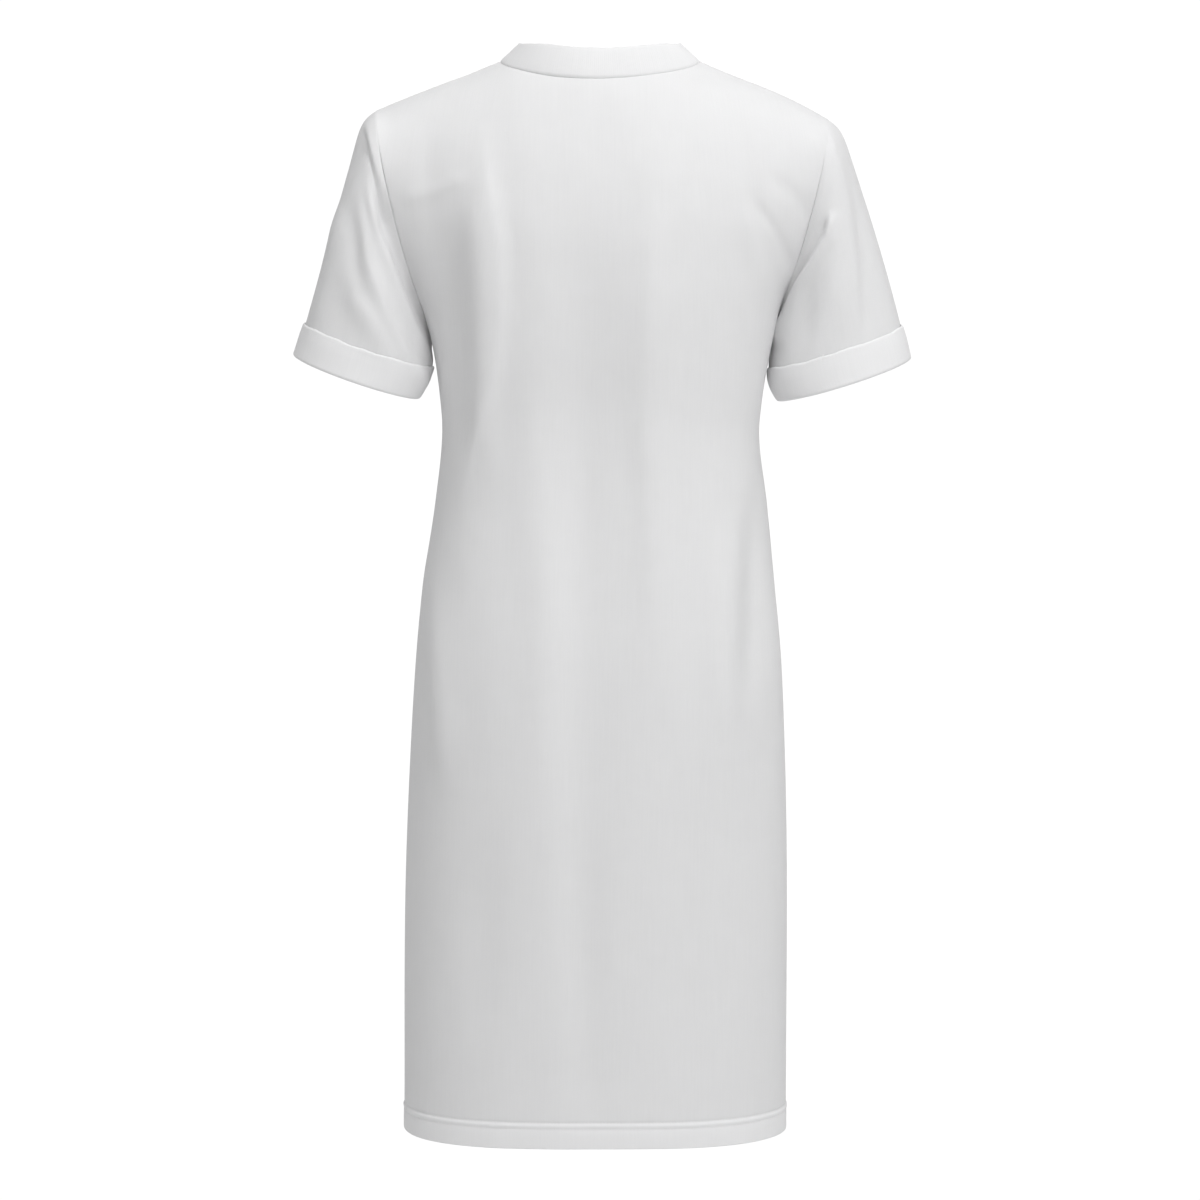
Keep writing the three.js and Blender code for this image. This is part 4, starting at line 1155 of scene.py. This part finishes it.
def tack_lines(panels, sizes):
    """Short threads over the right cuff's upper edge, which hold it to the sleeve."""
    sleeve = make_sleeve("right", panels, sizes)
    edge = sleeve["points"][SLEEVE_OPEN_ROWS]
    column = int(np.argmin(np.where(edge[:, 1] > 0, np.abs(edge[:, 0] - CUFF_TACK["x"]), 1)))
    facing = sleeve["normals"][SLEEVE_OPEN_ROWS, column]
    down = unit(sleeve["points"][SLEEVE_OPEN_ROWS + 1, column] - edge[column])
    aside = np.cross(down, facing)
    lines = []
    for thread in range(CUFF_TACK["threads"]):
        shift = aside * CUFF_TACK["apart"] * (thread - (CUFF_TACK["threads"] - 1) / 2)
        line = np.array([edge[column] + shift + down * along + facing * out for along, out in TACK_WAY])
        lines.append((line, np.repeat(facing[None], len(line), axis=0)))
    return lines


# ---- The pieces ----

def body_panels(sizes):
    return {name: make_panel(name, sizes) for name in PANELS}


def all_sleeves(panels, sizes):
    return {name: make_sleeve(name, panels, sizes) for name in SLEEVES}


def band_direction(bases, run):
    """The way the neckband stands up from each point of the neckline, square to the seam."""
    sideways = np.minimum(np.abs(bases[..., 0]) / NECK_HALF, 1) ** 2
    middle = np.where(bases[..., 1] > 0, BAND_LEAN["back"], BAND_LEAN["front"])
    x = -np.sign(bases[..., 0]) * BAND_LEAN["side"] * sideways
    y = -np.sign(bases[..., 1]) * middle * (1 - sideways)
    z = np.sqrt(np.maximum(1 - x * x - y * y, 0))
    direction = np.stack([x, y, z], axis=-1)
    return unit(direction - run * dot(direction, run))


def soften_ring(values, reach):
    """Values round a ring, each the mean of its neighbours up to about reach places away."""
    places = np.arange(-int(3 * reach), int(3 * reach) + 1)
    weights = bell(places / reach)
    return sum(w * np.roll(values, place, axis=0) for w, place in zip(weights, places)) / weights.sum()


def doubled_hem(points, sizes):
    """1 where the hem's cloth is double, up to its upper row of stitches, and 0 above."""
    upper = stitch_heights(sizes)[0]
    return smooth_step((upper + HEM["end"] - points[..., 2]) / HEM["end_fade"])


class DRESS_OT_panels(bpy.types.Operator):
    """Make the back and front panels with their folds, seams and doubled hem"""
    bl_idname = "dress.panels"
    bl_label = "Back and Front"

    def execute(self, context):
        sizes = context.scene.dress_sizes
        panels = body_panels(sizes)
        sleeves = all_sleeves(panels, sizes)
        for name, (width, length, area) in PANEL_CUTS.items():
            points = sewn_panel(name, panels, sleeves, sizes)
            doubled = doubled_hem(points, sizes)
            piece = cloth_wall(name + "_panel", points, sizes.cloth * (1 + HEM["second_layer"] * doubled[..., None]),
                               panels[name]["turned"], False, jersey_material(), doubled)
            finish_piece(piece, "jersey", name)
        return {"FINISHED"}


class DRESS_OT_neckband(bpy.types.Operator):
    """Make the standing rib-knit neckband"""
    bl_idname = "dress.neckband"
    bl_label = "Neckband"

    def execute(self, context):
        sizes = context.scene.dress_sizes
        steps = np.linspace(0, math.pi, NECKLINE_STEPS)[:-1]
        back, front = (yoke_point(PANELS[name], way * NECK_SHARE * np.cos(steps), np.ones_like(steps))
                       for name, way in (("back", 1), ("front", -1)))
        fine = np.concatenate([back, front, back[:1]])
        places = travelled(fine)
        ribs = round(places[-1] / sizes.rib_pitch)
        per_rib = max(round(BAND_COLUMNS / ribs), 4)
        count = ribs * per_rib
        spots = np.arange(count) / count * places[-1]
        bases = np.stack([np.interp(spots, places, fine[:, axis]) for axis in range(3)], axis=-1)
        reach = BAND["soft"] / (places[-1] / count)
        soft_bases = soften_ring(bases, reach)
        direction = unit(soften_ring(band_direction(bases, seam_run(bases, True)), reach))
        out = unit(np.cross(direction, seam_run(soft_bases, True)))
        out *= np.sign(dot(out, bases * [1, 1, 0]))
        behind = np.where(bases[:, 1] > 0, 1 - (bases[:, 0] / NECK_HALF) ** 2, 0)
        taller = BAND["taller_behind"] * smooth_step(behind * BAND["taller_spread"])
        rib = 0.5 + 0.5 * np.cos(np.arange(count) / per_rib * 2 * math.pi)
        rows = [bases - direction * below - out * inside for below, inside in BAND_FOOT]
        for share in np.linspace(0, 1, BAND_ROWS + 1):
            up = BAND["start"] + share * (sizes.band_height + taller[:, None] - sizes.band_cloth / 2)
            loss = BAND["rib_loss"] * smooth_step((share - BAND["rib_fades"]) / BAND["rib_fade"])
            calm = smooth_step(share / BAND["rib_from"]) * (1 - loss)
            crown = BAND["bulge"] * math.sin(math.pi * share) - BAND["root"] * (1 - share) ** 8
            stood = mix(bases, soft_bases, smooth_step(share / BAND["soft_by"]))
            rows.append(stood + direction * up + out * (crown + sizes.rib_depth * rib * calm)[:, None])
        points = np.stack(rows)
        turned = 1 if dot(surface_normals(points, True, 1)[6], out).mean() > 0 else -1
        piece = cloth_wall("neckband_rib", points, sizes.band_cloth, turned, True, rib_material(), 1.0)
        finish_piece(piece, "rib_knit", "neckband")
        return {"FINISHED"}


class DRESS_OT_sleeves(bpy.types.Operator):
    """Make the two set-in sleeves with their creases"""
    bl_idname = "dress.sleeves"
    bl_label = "Sleeves"

    def execute(self, context):
        sizes = context.scene.dress_sizes
        panels = body_panels(sizes)
        for name, sleeve in all_sleeves(panels, sizes).items():
            points, normals = (
                with_edge_lines(sleeve[key][:-3], 0, False) for key in ("points", "normals"))
            sink = edge_sink(points, sizes.armhole_roll * SLEEVES[name]["seam_roll"], 0, False)
            points = points - unit(normals) * sink[..., None]
            points = roll_in(points, armhole_normals(panels, sleeve), 0, False)
            piece = cloth_wall(
                "sleeve_skin_" + name, points, sizes.cloth, sleeve["turned"], True, jersey_material())
            finish_piece(piece, "jersey", "sleeve_" + name)
        return {"FINISHED"}


def cuff_rows(sleeve, sizes):
    """A cuff's middle layer: down outside the sleeve, round its end and a little up inside."""
    base, normals = sleeve["points"][SLEEVE_OPEN_ROWS:], sleeve["normals"][SLEEVE_OPEN_ROWS:]
    middle = CUFF_COVER - sizes.cuff_cloth / 2
    inside = -(sizes.cloth + sizes.cuff_cloth / 2 + CUFF_GAP)
    radius = (middle - inside) / 2
    down = unit(base[-1] - base[-2])
    turn = np.arange(base.shape[1]) / base.shape[1] * 2 * math.pi
    edge_wave = sum(
        high * np.sin(fast * turn + shift * sleeve["turned"]) * np.sin(slow * turn + start)
        for high, fast, shift, slow, start in CUFF_WAVES)
    rows = []
    turn_row = CUFF_ROWS - 1
    for place in (*CUFF_EDGE_PLACES, *range(1, turn_row + 1)):
        row = min(int(place), turn_row - 1)
        depth = place * (sizes.cuff_depth / CUFF_ROWS)
        lift = mix(CUFF_EDGE["lift"], middle, smooth_step(depth / CUFF_EDGE["lift_by"]))
        lift -= CUFF_EDGE["deep"] * max(1 - depth / CUFF_EDGE["wide"], 0) ** 2
        wave = edge_wave * math.exp(-depth / CUFF_EDGE["wave_by"])
        rows.append(mix(base[row], base[row + 1], place - row)
                    + unit(mix(normals[row], normals[row + 1], place - row)) * lift - down * wave[:, None])
    low, out = base[-1] - down * radius, normals[-1]
    centre = low + out * (middle - radius)
    for angle in np.linspace(0, math.pi, CUFF_TURN_STEPS):
        rows.append(centre + out * radius * math.cos(angle) + down * radius * math.sin(angle))
    last = len(CUFF_EDGE_PLACES) + turn_row - 1
    rows[last] = mix(rows[last - 1], rows[last + 1], 0.5)
    return np.stack([*rows, *(low - down * back_up + out * inside for back_up in CUFF_INSIDE_ROWS)])


class DRESS_OT_cuffs(bpy.types.Operator):
    """Make the turned-up cuffs, folded round the ends of the sleeves"""
    bl_idname = "dress.cuffs"
    bl_label = "Turned-Up Cuffs"

    def execute(self, context):
        sizes = context.scene.dress_sizes
        for name, sleeve in all_sleeves(body_panels(sizes), sizes).items():
            turned, points = sleeve["turned"], cuff_rows(sleeve, sizes)
            points = points + surface_normals(points, True, turned) * sizes.cuff_cloth / 2
            piece = cloth_wall(
                "cuff_turnup_" + name, points, sizes.cuff_cloth, turned, True, jersey_material(), 1.0)
            finish_piece(piece, "jersey", "cuff_" + name)
        return {"FINISHED"}


class DRESS_OT_stitching(bpy.types.Operator):
    """Sew the hem's two rows of stitches and the small tack that holds the right cuff"""
    bl_idname = "dress.stitching"
    bl_label = "Stitching"

    def execute(self, context):
        sizes = context.scene.dress_sizes
        panels = body_panels(sizes)
        lines = []
        for height in stitch_heights(sizes):
            row = int(np.argmin(np.abs(body_heights(sizes) - height)))
            points, facing = (
                np.concatenate([panels["back"][key][row][::-1], panels["front"][key][row][1:-1]])
                for key in ("points", "normals"))
            lines.append((points + facing * sizes.thread * THREAD["lift"], facing))
        piece = stitch_piece("hem_stitches", lines, True, {
            "Stitch Length": sizes.stitch_length, "Thread Radius": sizes.thread})
        finish_piece(piece, "jersey")
        piece = stitch_piece("cuff_tack", tack_lines(panels, sizes), False, {
            "Stitch Length": CUFF_TACK["stitch"], "Gap Share": 0.0, "Thread Radius": sizes.thread})
        finish_piece(piece, "jersey")
        return {"FINISHED"}


class DRESS_OT_stage(bpy.types.Operator):
    """Make the pale floor, the soft studio light and the camera behind the dress"""
    bl_idname = "dress.stage"
    bl_label = "Floor, Light and Camera"

    def execute(self, context):
        half, z = FLOOR["half"], FLOOR["z"]
        mesh = bpy.data.meshes.new("studio_floor")
        corners = [(-half, -half, z), (half, -half, z), (half, half, z), (-half, half, z)]
        mesh.from_pydata(corners, [], [(0, 1, 2, 3)])
        mesh.materials.append(floor_material())
        add_piece("studio_floor", mesh)
        soft_sky(context.scene)
        for light in LIGHTS:
            area_light(light)
        camera_behind(context.scene)
        return {"FINISHED"}


def area_light(values):
    light = bpy.data.lights.new(values["name"], "AREA")
    light.shape = "DISK"
    light.size = values["size"]
    light.energy = values["power"]
    lamp = bpy.data.objects.new(values["name"], light)
    lamp.location = values["place"]
    towards = Vector(values["target"]) - Vector(values["place"])
    lamp.rotation_euler = towards.to_track_quat("-Z", "Y").to_euler()
    bpy.context.scene.collection.objects.link(lamp)


def soft_sky(scene):
    """White all round for the camera, and a softer light that comes mostly from above."""
    world = bpy.data.worlds.new("soft_studio")
    world.use_nodes = True
    tree = world.node_tree
    seen = tree.nodes["Background"]
    set_inputs(tree, seen, {"Color": (1, 1, 1, 1), "Strength": SKY["seen"]})
    place = add_node(tree, "ShaderNodeTexCoord").outputs["Generated"]
    split = add_node(tree, "ShaderNodeSeparateXYZ", {0: place})
    high = math_node(tree, "MULTIPLY_ADD", split.outputs["Z"], SKY["rise"], SKY["level"])
    lit = add_node(tree, "ShaderNodeBackground", {"Strength": math_node(tree, "MAXIMUM", high, SKY["least"])})
    brighter_for_camera(tree, lit, seen, "World Output")
    scene.world = world
    scene.view_settings.view_transform = "Standard"


def camera_behind(scene):
    """Level with the waist behind the dress, with its lens a little lowered."""
    data = bpy.data.cameras.new("photo_camera")
    data.lens = CAMERA["lens"]
    data.shift_y = CAMERA["shift"]
    camera = bpy.data.objects.new("photo_camera", data)
    camera.location = (0.0, CAMERA["away"], CAMERA["height"])
    camera.rotation_euler = (math.radians(90 - CAMERA["tilt"]), 0.0, math.radians(180))
    scene.collection.objects.link(camera)
    scene.camera = camera


class DRESS_PT_panel(bpy.types.Panel):
    """The dress's pieces in the order in which they are made"""
    bl_idname = "DRESS_PT_panel"
    bl_label = "T-Shirt Dress"
    bl_space_type = "VIEW_3D"
    bl_region_type = "UI"
    bl_category = "Dress"

    def draw(self, context):
        layout = self.layout
        for operator in OPERATORS:
            layout.operator(operator.bl_idname)
        for group in (context.scene.dress_sizes, context.scene.dress_colours):
            for name in group.__annotations__:
                layout.prop(group, name)


OPERATORS = (
    DRESS_OT_panels, DRESS_OT_neckband, DRESS_OT_sleeves, DRESS_OT_cuffs, DRESS_OT_stitching, DRESS_OT_stage,
)
CLASSES = (DressSizes, DressColours, *OPERATORS, DRESS_PT_panel)


def register():
    for cls in CLASSES:
        bpy.utils.register_class(cls)
    bpy.types.Scene.dress_sizes = bpy.props.PointerProperty(type=DressSizes)
    bpy.types.Scene.dress_colours = bpy.props.PointerProperty(type=DressColours)


def unregister():
    del bpy.types.Scene.dress_colours
    del bpy.types.Scene.dress_sizes
    for cls in reversed(CLASSES):
        bpy.utils.unregister_class(cls)


def main():
    register()
    bpy.ops.dress.panels()
    bpy.ops.dress.neckband()
    bpy.ops.dress.sleeves()
    bpy.ops.dress.cuffs()
    bpy.ops.dress.stitching()
    bpy.ops.dress.stage()
    bpy.context.view_layer.update()


if __name__ == "__main__":
    main()
